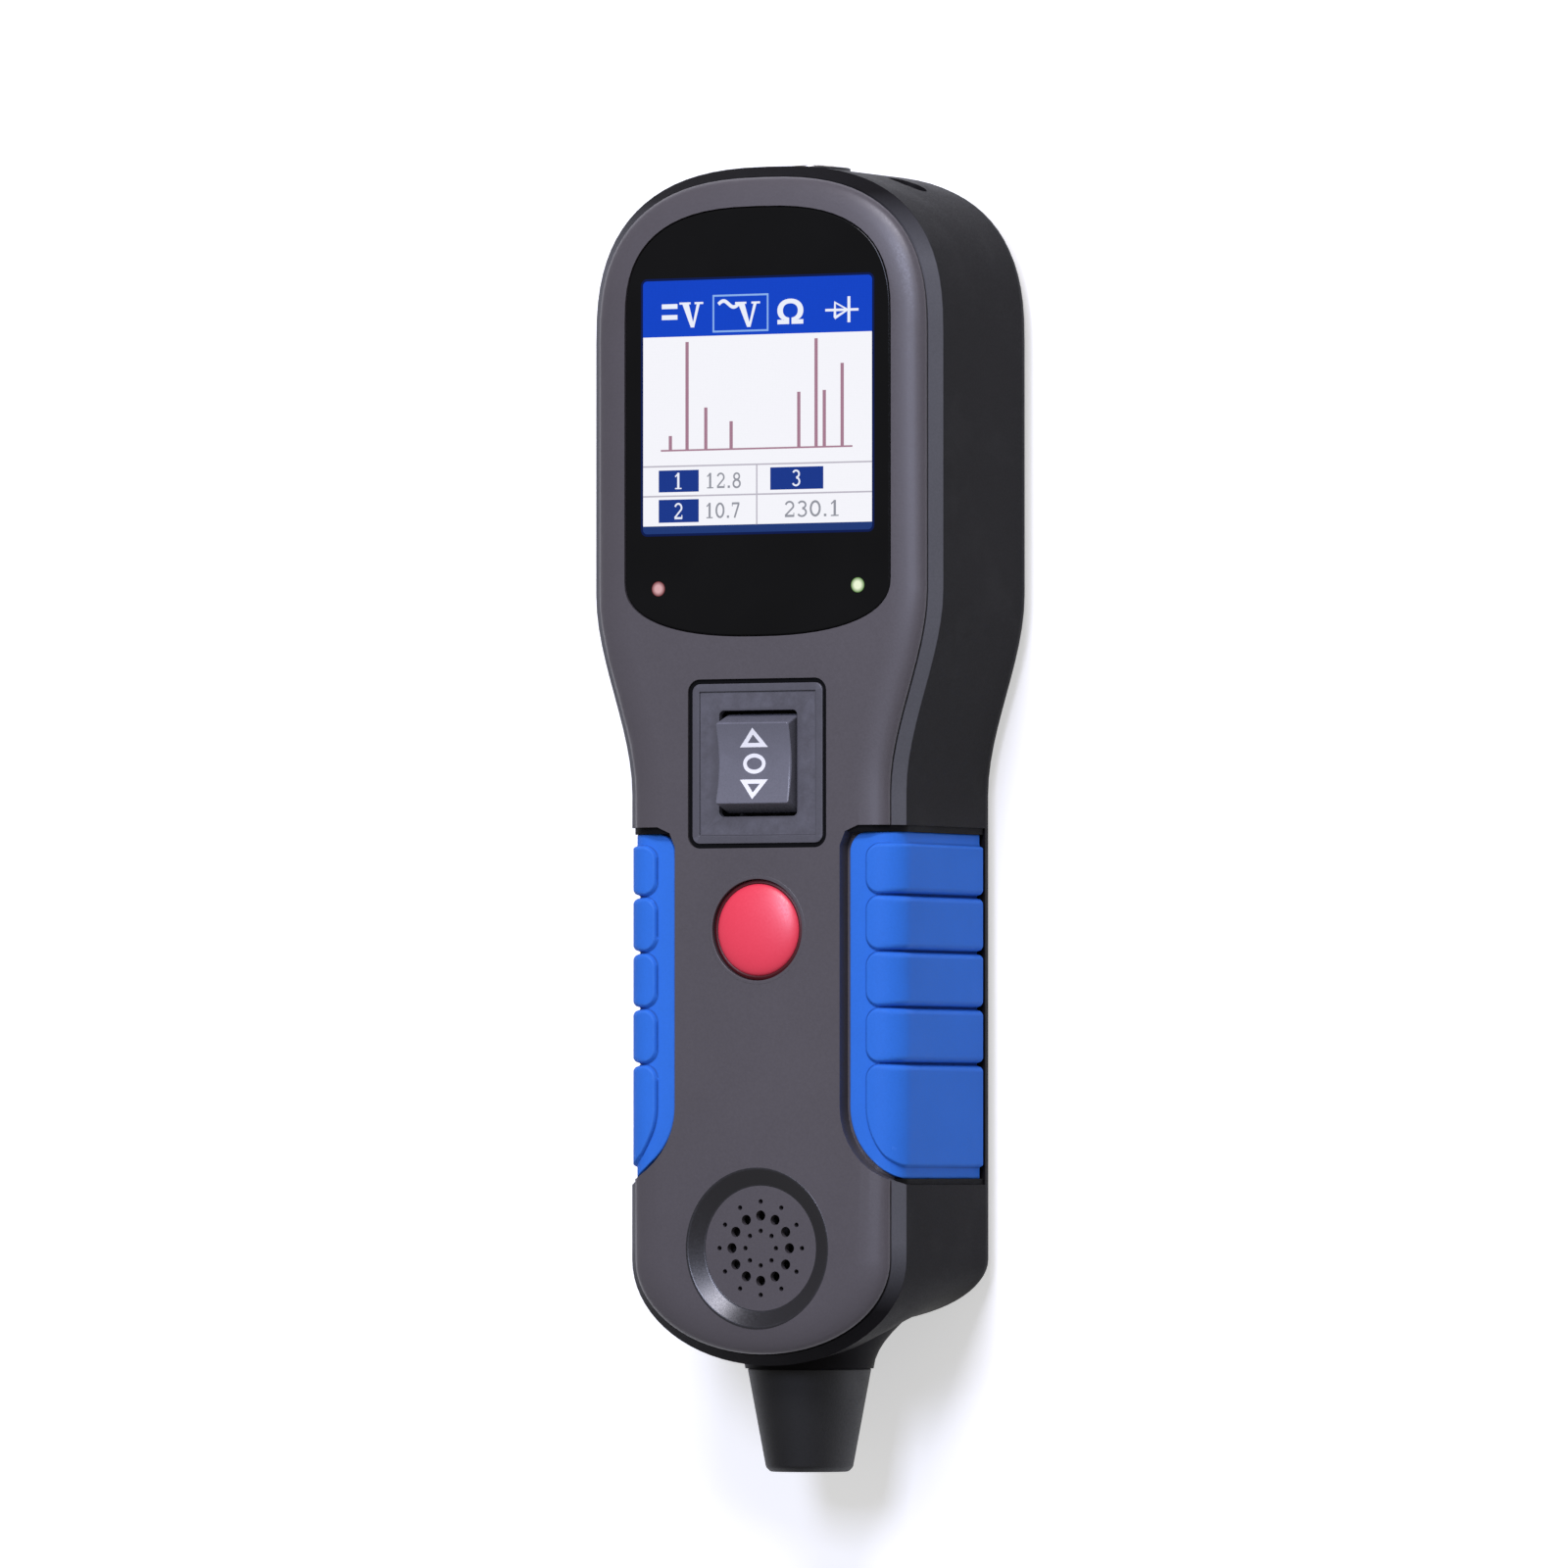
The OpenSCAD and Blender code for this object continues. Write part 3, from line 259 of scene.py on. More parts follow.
def blended(nodes, links, share, a, b):
    """A colour mix of a and b, each a colour or a socket, by share."""
    node = nodes.new("ShaderNodeMix")
    node.data_type = "RGBA"
    for k, value in ((0, share), (6, a), (7, b)):
        if isinstance(value, (int, float, tuple)):
            node.inputs[k].default_value = value
        else:
            links.new(value, node.inputs[k])
    return node.outputs[2]


def spread(nodes, links, value, low, high, to_low=0.0, to_high=1.0):
    """A map range from low..high to to_low..to_high, clamped."""
    node = nodes.new("ShaderNodeMapRange")
    links.new(value, node.inputs["Value"])
    for label, number in (("From Min", low), ("From Max", high), ("To Min", to_low), ("To Max", to_high)):
        if isinstance(number, (int, float)):
            node.inputs[label].default_value = number
        else:
            links.new(number, node.inputs[label])
    return node.outputs[0]


def moulded_grain():
    """Spark-eroded grain of a moulded surface, with broad faint mottling and handling shine."""
    group, nodes, links, start, end = new_group(
        "moulded_grain",
        {"Colour": (0.5, 0.5, 0.5, 1.0), "Shade": 0.12, "Grain": 2600.0, "Rough": 0.45, "Shine": 0.08},
        {"Colour": "NodeSocketColor", "Roughness": "NodeSocketFloat", "Height": "NodeSocketFloat"})
    place = nodes.new("ShaderNodeTexCoord").outputs["Object"]
    fine = noise(nodes, links, place, start.outputs["Grain"], 2.0, 0.6)
    broad = noise(nodes, links, place, 38.0, 4.0, 0.55)
    handled = noise(nodes, links, place, 95.0, 5.0, 0.6)
    darker = nodes.new("ShaderNodeHueSaturation")
    links.new(start.outputs["Colour"], darker.inputs["Color"])
    clouds = spread(nodes, links, broad.outputs[0], 0.3, 0.7, -1.0, 1.0)
    specks = spread(nodes, links, fine.outputs[0], 0.3, 0.7, -0.6, 0.6)
    mottled = arithmetic(nodes, links, "MULTIPLY", clouds, start.outputs["Shade"])
    speckled = arithmetic(nodes, links, "MULTIPLY", specks, start.outputs["Shade"])
    links.new(arithmetic(nodes, links, "ADD", arithmetic(nodes, links, "ADD", mottled, speckled), 1.0),
              darker.inputs["Value"])
    links.new(darker.outputs[0], end.inputs["Colour"])
    worn = arithmetic(nodes, links, "MULTIPLY", spread(nodes, links, handled.outputs[0], 0.52, 0.72),
                      start.outputs["Shine"])
    grainy = spread(nodes, links, fine.outputs[0], 0.3, 0.7, -0.05, 0.05)
    rough = arithmetic(nodes, links, "SUBTRACT", start.outputs["Rough"], worn)
    links.new(arithmetic(nodes, links, "ADD", rough, grainy), end.inputs["Roughness"])
    links.new(fine.outputs[0], end.inputs["Height"])
    return group


def edge_wear_and_crease_shade():
    """Lightening where a surface bends outward, as wear, and painted shade where it bends in, as a darker
    colour in the creases. The outward mask is also given out.
    """
    group, nodes, links, start, end = new_group(
        "edge_wear_and_crease_shade",
        {"Colour": (0.5, 0.5, 0.5, 1.0), "Edge": (0.8, 0.8, 0.8, 1.0), "Crease": (0.1, 0.1, 0.1, 1.0),
         "Strength": 0.3},
        {"Colour": "NodeSocketColor", "Mask": "NodeSocketFloat"})
    bend = nodes.new("ShaderNodeNewGeometry").outputs["Pointiness"]
    place = nodes.new("ShaderNodeTexCoord").outputs["Object"]
    patchy = spread(nodes, links, noise(nodes, links, place, 420.0, 4.0, 0.65).outputs[0], 0.35, 0.65)
    outward = arithmetic(nodes, links, "MULTIPLY", spread(nodes, links, bend, 0.51, 0.56), patchy)
    outward = arithmetic(nodes, links, "MULTIPLY", outward, start.outputs["Strength"])
    # Painted shade: where the surface bends in, the colour darkens towards the Crease colour
    painted_crease_shade = arithmetic(nodes, links, "MULTIPLY", spread(nodes, links, bend, 0.49, 0.44), 0.8)
    lit = blended(nodes, links, outward, start.outputs["Colour"], start.outputs["Edge"])
    links.new(blended(nodes, links, painted_crease_shade, lit, start.outputs["Crease"]), end.inputs["Colour"])
    links.new(outward, end.inputs["Mask"])
    return group


def fine_brushing():
    """Turned or brushed metal: noise stretched along one axis, as streaks of height and tone."""
    group, nodes, links, start, end = new_group(
        "fine_brushing", {"Colour": (0.7, 0.7, 0.7, 1.0), "Rough": 0.3},
        {"Colour": "NodeSocketColor", "Roughness": "NodeSocketFloat", "Height": "NodeSocketFloat"})
    place = nodes.new("ShaderNodeMapping")
    links.new(nodes.new("ShaderNodeTexCoord").outputs["Object"], place.inputs["Vector"])
    place.inputs["Scale"].default_value = (1.0, 14.0, 14.0)
    streaks = noise(nodes, links, place.outputs[0], 320.0, 4.0, 0.6)
    tone = nodes.new("ShaderNodeHueSaturation")
    links.new(start.outputs["Colour"], tone.inputs["Color"])
    links.new(spread(nodes, links, streaks.outputs[0], 0.3, 0.7, 0.85, 1.1), tone.inputs["Value"])
    links.new(tone.outputs[0], end.inputs["Colour"])
    uneven = spread(nodes, links, streaks.outputs[0], 0.3, 0.7, -0.08, 0.12)
    links.new(arithmetic(nodes, links, "ADD", start.outputs["Rough"], uneven), end.inputs["Roughness"])
    links.new(streaks.outputs[0], end.inputs["Height"])
    return group


GRAIN, WEAR_AND_SHADE, BRUSHING = moulded_grain(), edge_wear_and_crease_shade(), fine_brushing()


def blank_finish(name, **sockets):
    """A material with one Principled shader whose plain sockets are set as given."""
    finish = bpy.data.materials.new(name)
    finish.use_nodes = True
    tree = finish.node_tree
    shader = tree.nodes["Principled BSDF"]
    for label, value in sockets.items():
        shader.inputs[label.replace("_", " ")].default_value = value
    return finish, tree, shader


def placed(tree, group, **values):
    """A node group placed in a material with its own values."""
    node = tree.nodes.new("ShaderNodeGroup")
    node.node_tree = group
    for label, value in values.items():
        node.inputs[label.replace("_", " ")].default_value = value
    return node


def bumped(tree, shader, height, depth):
    """A height as bump on the shader's normal. Depth is in metres."""
    bump = tree.nodes.new("ShaderNodeBump")
    bump.inputs["Distance"].default_value = depth
    bump.inputs["Strength"].default_value = 1.0
    tree.links.new(height, bump.inputs["Height"])
    tree.links.new(bump.outputs[0], shader.inputs["Normal"])


def plastic(name, colour, rough=0.45, shade=0.1, grain=2600.0, depth=1.2e-5, shine=0.08, edge=None,
            crease=None, wear=0.0, **sockets):
    """Moulded plastic or rubber: grain, mottling and shine, with worn edges and painted shade in creases
    where asked for.
    """
    finish, tree, shader = blank_finish(name, **sockets)
    group = placed(tree, GRAIN, Shade=shade, Grain=grain, Rough=rough, Shine=shine)
    if edge is not None:
        # This node lightens worn edges and paints shade into the creases
        worn = placed(tree, WEAR_AND_SHADE, Colour=colour, Edge=edge, Crease=crease or colour, Strength=wear)
        tree.links.new(worn.outputs["Colour"], group.inputs["Colour"])
    else:
        group.inputs["Colour"].default_value = colour
    tree.links.new(group.outputs["Colour"], shader.inputs["Base Color"])
    tree.links.new(group.outputs["Roughness"], shader.inputs["Roughness"])
    bumped(tree, shader, group.outputs["Height"], depth)
    return finish


def metal(name, colour, rough=0.3, depth=4e-6):
    """Turned or plated metal with fine streaks."""
    finish, tree, shader = blank_finish(name, Metallic=1.0)
    group = placed(tree, BRUSHING, Colour=colour, Rough=rough)
    tree.links.new(group.outputs["Colour"], shader.inputs["Base Color"])
    tree.links.new(group.outputs["Roughness"], shader.inputs["Roughness"])
    bumped(tree, shader, group.outputs["Height"], depth)
    return finish


def lit_area(name, colour, tone=0.04, strength=1.0):
    """Lit display area under glass: a plain glow with the faint grid of its cells."""
    finish, tree, shader = blank_finish(name, Base_Color=(0.0, 0.0, 0.0, 1.0), Roughness=0.25,
                                        Specular_IOR_Level=0.15, Emission_Strength=strength)
    place = tree.nodes.new("ShaderNodeTexCoord").outputs["Object"]
    cells = tree.nodes.new("ShaderNodeTexBrick")
    cells.offset = 0.0
    tree.links.new(place, cells.inputs["Vector"])
    cells.inputs["Scale"].default_value = 1.0
    cells.inputs["Brick Width"].default_value = 0.00028
    cells.inputs["Row Height"].default_value = 0.00028
    cells.inputs["Mortar Size"].default_value = 0.00002
    cells.inputs["Color1"].default_value = colour
    cells.inputs["Color2"].default_value = tuple(c * (1 - tone) for c in colour[:3]) + (1.0,)
    cells.inputs["Mortar"].default_value = tuple(c * (1 - 3 * tone) for c in colour[:3]) + (1.0,)
    tree.links.new(cells.outputs["Color"], shader.inputs["Emission Color"])
    return finish


def lamp_dot(name, core, rim, centre, radius):
    """An indicator light seen through dark glass: bright at its middle, deep colour at its rim."""
    finish, tree, shader = blank_finish(name, Roughness=0.3, Emission_Strength=1.0,
                                        Base_Color=(0.0, 0.0, 0.0, 1.0), Specular_IOR_Level=0.15)
    nodes, links = tree.nodes, tree.links
    place = nodes.new("ShaderNodeTexCoord").outputs["Object"]
    away = nodes.new("ShaderNodeVectorMath")
    away.operation = "DISTANCE"
    links.new(place, away.inputs[0])
    away.inputs[1].default_value = tuple(c * MM for c in centre)
    share = spread(nodes, links, away.outputs["Value"], radius * 0.45 * MM, radius * 0.98 * MM)
    links.new(blended(nodes, links, share, core, rim), shader.inputs["Emission Color"])
    return finish


cover_grey = plastic("cover_grey", linear(87, 83, 86), rough=0.38, shade=0.05, depth=7e-6, shine=0.02,
                     Specular_IOR_Level=0.5)


def black_with_painted_chamfer_light():
    """Black moulded plastic of the rear cover. Its chamfer, between two heights under the front
    cover, carries a painted highlight: a paler grey that fades to black round both ends of the tester."""
    finish, tree, shader = blank_finish("case_black", Specular_IOR_Level=0.04)
    nodes, links = tree.nodes, tree.links
    apart = nodes.new("ShaderNodeSeparateXYZ")
    links.new(nodes.new("ShaderNodeTexCoord").outputs["Object"], apart.inputs[0])
    above = spread(nodes, links, apart.outputs["Z"], 34.55 * MM, 34.7 * MM)
    foot = spread(nodes, links, apart.outputs["Y"], -86 * MM, -74 * MM)
    crown = spread(nodes, links, apart.outputs["Y"], 96 * MM, 108 * MM, 1.0, 0.0)
    # The share is the painted highlight on the chamfer: above one height, and away from both ends
    share = arithmetic(nodes, links, "MULTIPLY", above, arithmetic(nodes, links, "MULTIPLY", foot, crown))
    group = placed(tree, GRAIN, Shade=0.08, Grain=2600.0, Rough=0.5, Shine=0.06)
    # linear(94, 94, 97) is the colour of the painted highlight laid over the black
    links.new(blended(nodes, links, share, linear(27, 26, 27), linear(94, 94, 97)), group.inputs["Colour"])
    links.new(group.outputs["Colour"], shader.inputs["Base Color"])
    links.new(group.outputs["Roughness"], shader.inputs["Roughness"])
    bumped(tree, shader, group.outputs["Height"], 9e-6)
    return finish


case_black = black_with_painted_chamfer_light()
# Each crease colour below is painted shade for the creases of that finish
grip_rubber = plastic("grip_rubber", linear(54, 121, 223), rough=0.6, shade=0.05, depth=8e-6,
                      edge=linear(80, 142, 238), crease=linear(10, 36, 98), wear=0.5, shine=0.05,
                      Specular_IOR_Level=0.1)
window_gloss = plastic("window_gloss", linear(17, 17, 17), rough=0.14, shade=0.1, grain=60.0, depth=1e-7,
                       shine=0.03, Specular_IOR_Level=0.18)
switch_grey = plastic("switch_grey", linear(86, 85, 91), rough=0.4, shade=0.05, depth=6e-6,
                      edge=linear(120, 120, 130), crease=linear(40, 40, 44), wear=0.3)
rocker_grey = plastic("rocker_grey", linear(113, 113, 122), rough=0.3, shade=0.05, depth=4e-6,
                      edge=linear(150, 150, 165), crease=linear(90, 90, 98), wear=0.3)
switch_black = plastic("switch_black", linear(24, 24, 26), rough=0.5, shade=0.1)
button_red = plastic("button_red", linear(255, 66, 90), rough=0.4, shade=0.03, depth=2e-6, shine=0.02,
                     Specular_IOR_Level=0.9)
# A darker copy of the button's red: painted shade on the button's skirt down in its groove
groove_shade_red = plastic("groove_shade_red", linear(78, 6, 16), rough=0.5, shade=0.06)
# A dark copy of the cover's grey for the grille's dish ring: painted shade of the recess, glossy so that it
# takes the lamp's real highlight
dish_ring_shade_grey = plastic("dish_ring_shade_grey", linear(26, 25, 30), rough=0.33, shade=0.03, depth=1e-7, shine=0.01,
                    Specular_IOR_Level=1.0)
# Near-black for the painted shade laid in the grooves round the grips and round the switch plate
groove_shade_black = plastic("groove_shade_black", linear(10, 10, 12), rough=0.7, shade=0.1, Specular_IOR_Level=0.1)
mark_white = plastic("mark_white", linear(252, 252, 253), rough=0.5, shade=0.02, depth=2e-6)
boot_rubber = plastic("boot_rubber", linear(24, 24, 24), rough=0.6, shade=0.12, depth=1.5e-5)
board_green = plastic("board_green", linear(26, 88, 50), rough=0.4, shade=0.1, grain=900.0)
connector_ivory = plastic("connector_ivory", linear(232, 226, 205), rough=0.5, shade=0.05)
film_orange = plastic("film_orange", linear(205, 120, 44), rough=0.4, shade=0.06)
foam_black = plastic("foam_black", linear(30, 30, 30), rough=0.9, shade=0.2, grain=1500.0, depth=6e-5)
cone_paper = plastic("cone_paper", linear(36, 35, 36), rough=0.85, shade=0.15, grain=1200.0, depth=3e-5)
magnet_grey = plastic("magnet_grey", linear(110, 110, 114), rough=0.6, shade=0.15, grain=1800.0)
relay_blue = plastic("relay_blue", linear(40, 76, 160), rough=0.4, shade=0.06)
terminal_green = plastic("terminal_green", linear(40, 130, 70), rough=0.45, shade=0.06)
display_blue = plastic("display_blue", linear(18, 71, 204), rough=0.3, shade=0.05)
led_red_lens = plastic("led_red_lens", linear(200, 90, 95), rough=0.25, shade=0.05)
led_green_lens = plastic("led_green_lens", linear(190, 230, 150), rough=0.25, shade=0.05)
lamp_white = plastic("lamp_white", linear(238, 238, 230), rough=0.3, shade=0.04)
lens_clear = plastic("lens_clear", linear(160, 165, 172), rough=0.08, shade=0.05, grain=200.0, depth=1e-6,
                     Coat_Weight=0.6, Coat_Roughness=0.05)
zinc_steel = metal("zinc_steel", linear(205, 206, 210), rough=0.32)
turned_brass = metal("turned_brass", linear(214, 178, 110), rough=0.26)
socket_metal = metal("socket_metal", linear(200, 196, 188), rough=0.25)

NODE_FINISH = {
    "display_panel": display_blue, "display_holder": switch_black, "display_board": board_green,
    "display_screws": zinc_steel, "display_connector": connector_ivory, "display_ribbon": film_orange,
    "board_connector": connector_ivory, "led_red": led_red_lens, "led_green": led_green_lens,
    "switch_body": switch_black, "switch_terminals": turned_brass, "button_board": board_green,
    "tact_switch": zinc_steel, "button_screws": zinc_steel, "button_header": switch_black,
    "speaker_gasket": foam_black, "speaker_basket": zinc_steel, "speaker_cone": cone_paper,
    "speaker_magnet": magnet_grey, "speaker_clamp": zinc_steel, "speaker_screws": zinc_steel,
    "main_board": board_green, "board_screws": zinc_steel, "relay": relay_blue,
    "controller_chip": switch_black, "capacitors": relay_blue, "lead_terminal": terminal_green,
    "case_screws": zinc_steel, "socket_collar": switch_black, "probe_socket": socket_metal,
    "socket_nut": zinc_steel, "probe_tag": turned_brass, "light_lens_left": lens_clear,
    "light_lens_right": lens_clear, "light_led_left": lamp_white, "light_led_right": lamp_white,
    "cable_boot": boot_rubber, "cable_clamp": zinc_steel, "clamp_screws": zinc_steel,
    "switch_plate": switch_grey, "rocker": rocker_grey, "button_cap": button_red,
    "display_window": window_gloss, "front_cover": cover_grey, "rear_cover": case_black,
    "grip_left": grip_rubber, "grip_right": grip_rubber,
}
for node, finish in NODE_FINISH.items():
    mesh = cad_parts[node].data
    mesh.materials.clear()
    mesh.materials.append(finish)


# ---------------------------------------------------------------- covers
GRILLE = (0, 18.4 - MIDDLE, 0)
BUTTON = (0, 73.6 - MIDDLE, 0)
skinned_node("front_cover", cover_grey, 36.0, (GRILLE[0], GRILLE[1], 15.0))
skinned_node("rear_cover", case_black)
# The dish ring round the grille is in the grey with painted shade
turned_closed("grille_ring", [(14.0, 38.9), (14.0, 39.02), (13.62, 39.02), (11.05, 37.65), (10.85, 37.65),
                              (10.85, 37.5)], dish_ring_shade_grey, GRILLE, radius=0.16, steps=144, slot="cover_grey")
turned_closed("button_rim", [(8.8, 37.5), (9.5, 37.5), (9.5, 39.02), (8.8, 39.02)], cover_grey, BUTTON,
              radius=0.12, steps=128, slot="cover_grey")


# ---------------------------------------------------------------- grips
GRIP = dict(low=30.4, length=60.1, inner=17.2, thick=2.0, pad=0.7, notch=1.3, pitch=9.73, level=37.9,
            side=27.0, bend=5.0, foot=5.5, sweep_s=13.0, sweep_y=12.5, corner=3.5, rim=3.2)
FRONT_RUN = GRIP["side"] - GRIP["bend"] - GRIP["inner"]
ARC_RUN = GRIP["bend"] * math.pi / 2
WHOLE_RUN = FRONT_RUN + ARC_RUN + GRIP["level"] - GRIP["bend"] - GRIP["foot"]
GRIP_TOP = GRIP["low"] + GRIP["length"]
NOTCHES = GRIP_TOP - 1.2 - GRIP["pitch"] * np.arange(1, 5)


def corner_cut(depth, reach, run):
    """How far a rounded corner takes the edge back: a quarter ellipse of that reach and run."""
    t = np.clip(1 - depth / run, 0, 1)
    return reach * (1 - np.sqrt(np.clip(1 - t * t, 0, 1)))


def section(s):
    """Point and outward angle of the grip's section at run s: straight across the front, a quarter
    circle round the edge, then straight down the side."""
    a = np.clip((s - FRONT_RUN) / ARC_RUN, 0, 1) * np.pi / 2
    x = GRIP["inner"] + np.minimum(s, FRONT_RUN) + GRIP["bend"] * np.sin(a)
    z = GRIP["level"] - GRIP["bend"] * (1 - np.cos(a)) - np.maximum(s - FRONT_RUN - ARC_RUN, 0)
    return x, z, a


def pad_relief(c, s, y):
    """Depth under the pads' surface. Each pad is a rounded box in (c, y), with c the run from the
    inner edge: inside it the depth is 0, outside the pad height, with a short step between. Along
    the notches a groove deepens towards the side."""
    ends = np.concatenate([[GRIP_TOP - 2.0], NOTCHES - 0.12])
    starts = np.concatenate([NOTCHES + 0.12, [GRIP["low"] + 2.0]])
    depth = np.full(y.shape, 9.0)
    for low, high in zip(starts, ends):
        r = 2.6
        qy = np.abs(y - (low + high) / 2) - ((high - low) / 2 - r)
        qc = (GRIP["rim"] + 0.1 + r) - c
        outside = np.hypot(np.maximum(qy, 0), np.maximum(qc, 0)) + np.minimum(np.maximum(qy, qc), 0) - r
        depth = np.minimum(depth, outside)
    step = GRIP["pad"] * smooth(depth / 0.4 + 1.0)
    away = np.min(np.abs(y[..., None] - NOTCHES), axis=-1)
    deepen = smooth((s - GRIP["rim"] - 1) / 7)
    groove = (GRIP["notch"] - GRIP["pad"]) * deepen * smooth(1 - away / 1.2)
    return step + groove


def grip(name, node, side):
    """One grip: rows at height y and columns at run s from the swept inner edge. The outer surface
    is the section less the relief, rounded over at all its borders, and the inner surface is the
    same section, moved in by the thickness."""
    rim = np.array([[0, 1.9], [0, 0.42], [0.05, 0.2], [0.14, 0.08], [0.28, 0.02], [0.45, 0.0]])
    inner_y = np.linspace(0.7, GRIP["length"] - 0.7, 260)
    y = np.concatenate([rim[:, 0], inner_y, GRIP["length"] - rim[::-1, 0]]) + GRIP["low"]
    drop_y = np.concatenate([rim[:, 1], np.zeros(len(inner_y)), rim[::-1, 1]])
    t = np.linspace(0, 1, 44)[1:]
    edge = np.maximum(corner_cut(y - GRIP["low"], GRIP["sweep_s"], GRIP["sweep_y"]),
                      corner_cut(GRIP_TOP - y, GRIP["corner"], GRIP["corner"]))[:, None]
    run = WHOLE_RUN - edge
    near = np.concatenate([rim[:, 0], np.arange(0.7, 8.1, 0.22)])
    last = 0.7
    middle = near[-1] + (run - last - near[-1]) * t[None, :]
    c = np.hstack([np.broadcast_to(near, (len(y), len(near))), middle, run - rim[::-1, 0][None, :]])
    drop_c = np.concatenate([rim[:, 1], np.zeros(len(near) - len(rim) + len(t)), rim[::-1, 1]])
    s = c + edge
    x, z, a = section(s)
    rows = np.broadcast_to(y[:, None], s.shape)
    border = np.maximum(drop_y[:, None], drop_c[None, :])
    relief = pad_relief(c, s, rows)
    reach = np.minimum(np.maximum(relief, 0) + border, 1.9)
    outer = np.stack([x - reach * np.sin(a), rows, z - reach * np.cos(a)], axis=-1)
    inner = np.stack([x - 1.98 * np.sin(a), rows, z - 1.98 * np.cos(a)], axis=-1)[:, ::-1]
    rings = np.concatenate([outer, inner], axis=1)
    rings = rings * [side, 1, 1] - [0, MIDDLE, 0]
    count, columns = rings.shape[:2]
    faces = ring_faces(count, columns)
    i = np.arange(columns // 2 - 1)
    cap = np.stack([i, i + 1, columns - 2 - i, columns - 1 - i], axis=-1)
    faces += cap.tolist() + (cap[:, ::-1] + (count - 1) * columns).tolist()
    return finish_mesh(name, rings.reshape(-1, 3), faces, grip_rubber, stands_for=(node,), slot="grip_blue",
                       sharp=60.0)


grip("grip_right_pads", "grip_right", 1)
grip("grip_left_pads", "grip_left", -1)


def groove_shade_strip(name, side, low, high, path):
    """A dark strip of painted shade in the groove at one end of a grip: its (x, height) path follows the
    case a little under its surface, is rounded at its corners and is as wide as the groove."""
    outer = filleted(path, 1.2, 4)
    run = np.gradient(outer, axis=0)
    run = run / np.linalg.norm(run, axis=1)[:, None]
    inner = outer + np.column_stack([run[:, 1], -run[:, 0]])
    loop = np.vstack([outer, inner[::-1]]) * [side, 1]
    rings = [np.column_stack([loop[:, 0], np.full(len(loop), y - MIDDLE), loop[:, 1]]) for y in (low, high)]
    return ringed(name, rings, groove_shade_black, slot="case_black", sharp=50.0)


# Dark strips of painted shade in the grooves above and below each grip
for name, side in (("right", 1), ("left", -1)):
    groove_shade_strip(f"groove_shade_top_{name}", side, GRIP_TOP - 0.05, GRIP_TOP + 1.08,
                 [(17.6, 38.6), (18.6, 38.6), (21.6, 38.3), (24.6, 36.9), (26.7, 34.4), (26.7, 5.3)])
    groove_shade_strip(f"groove_shade_foot_{name}", side, GRIP["low"] - 0.98, GRIP["low"] + 0.05,
                 [(25.4, 35.8), (26.7, 34.4), (26.7, 5.3)])


# ---------------------------------------------------------------- window and display
def window_outline(inset, steps=48):
    """Closed outline of the window: a superellipse arch on top, straight sides, and a shallower
    superellipse below, drawn in by inset."""
    half_w, low, high = 26.1, 124.6, 199.2
    a = np.linspace(0, np.pi / 2, steps)
    under = np.stack([(half_w - inset) * np.sin(a) ** (2 / 2.4),
                      low + 9.8 - (9.8 - inset) * np.cos(a) ** (2 / 2.4)], axis=-1)
    arch = np.stack([(half_w - inset) * np.cos(a) ** (2 / 2.7),
                     high - 19.8 + (19.8 - inset) * np.sin(a) ** (2 / 2.7)], axis=-1)
    half = np.vstack([under, arch])
    whole = np.vstack([half, half[-2:0:-1] * [-1, 1]])
    return whole - [0, MIDDLE]


def stacked(outline, profile):
    """Rings of one outline function at (inset, height) pairs."""
    rings = []
    for inset, height in profile:
        flat = outline(inset)
        rings.append(np.column_stack([flat, np.full(len(flat), height)]))
    return np.array(rings)


EDGE = [(0.06, 37.5), (0.06, 38.55), (0.1, 38.7), (0.18, 38.81), (0.3, 38.875), (0.46, WINDOW_TOP)]
ringed("window_pane", stacked(window_outline, EDGE), window_gloss, stands_for=("display_window",),
       slot="window_black")


def box_outline(x0, x1, y0, y1):
    """Rectangle from two corners, counter-clockwise."""
    return np.array([[x0, y0], [x1, y0], [x1, y1], [x0, y1]], float)


def corner_pair(x0, x1, near, far, radius):
    """Rectangle whose two corners on the far edge are rounded by quarter circles."""
    a = np.linspace(0, np.pi / 2, 9)
    sx, sy = np.sign(x1 - x0), np.sign(far - near)
    quarter = np.stack([np.cos(a), np.sin(a)], axis=-1) * radius
    right = quarter * [sx, sy] + [x1 - sx * radius, far - sy * radius]
    left = quarter[::-1] * [-sx, sy] + [x0 + sx * radius, far - sy * radius]
    return np.vstack([[[x0, near], [x1, near]], right, left])


def stroke_outline(points, width):
    """Outline of a line drawn with a flat pen: the points moved half the width to each side along
    the mean normal of the two runs that meet there."""
    p = np.asarray(points, float)
    run = np.diff(p, axis=0)
    run = run / np.linalg.norm(run, axis=1)[:, None]
    left = np.column_stack([-run[:, 1], run[:, 0]])
    at = np.vstack([left[:1], (left[:-1] + left[1:]) / 2, left[-1:]])
    at = at / (at * at).sum(axis=1)[:, None] ** 0.5
    return np.vstack([p + at * width / 2, (p - at * width / 2)[::-1]])


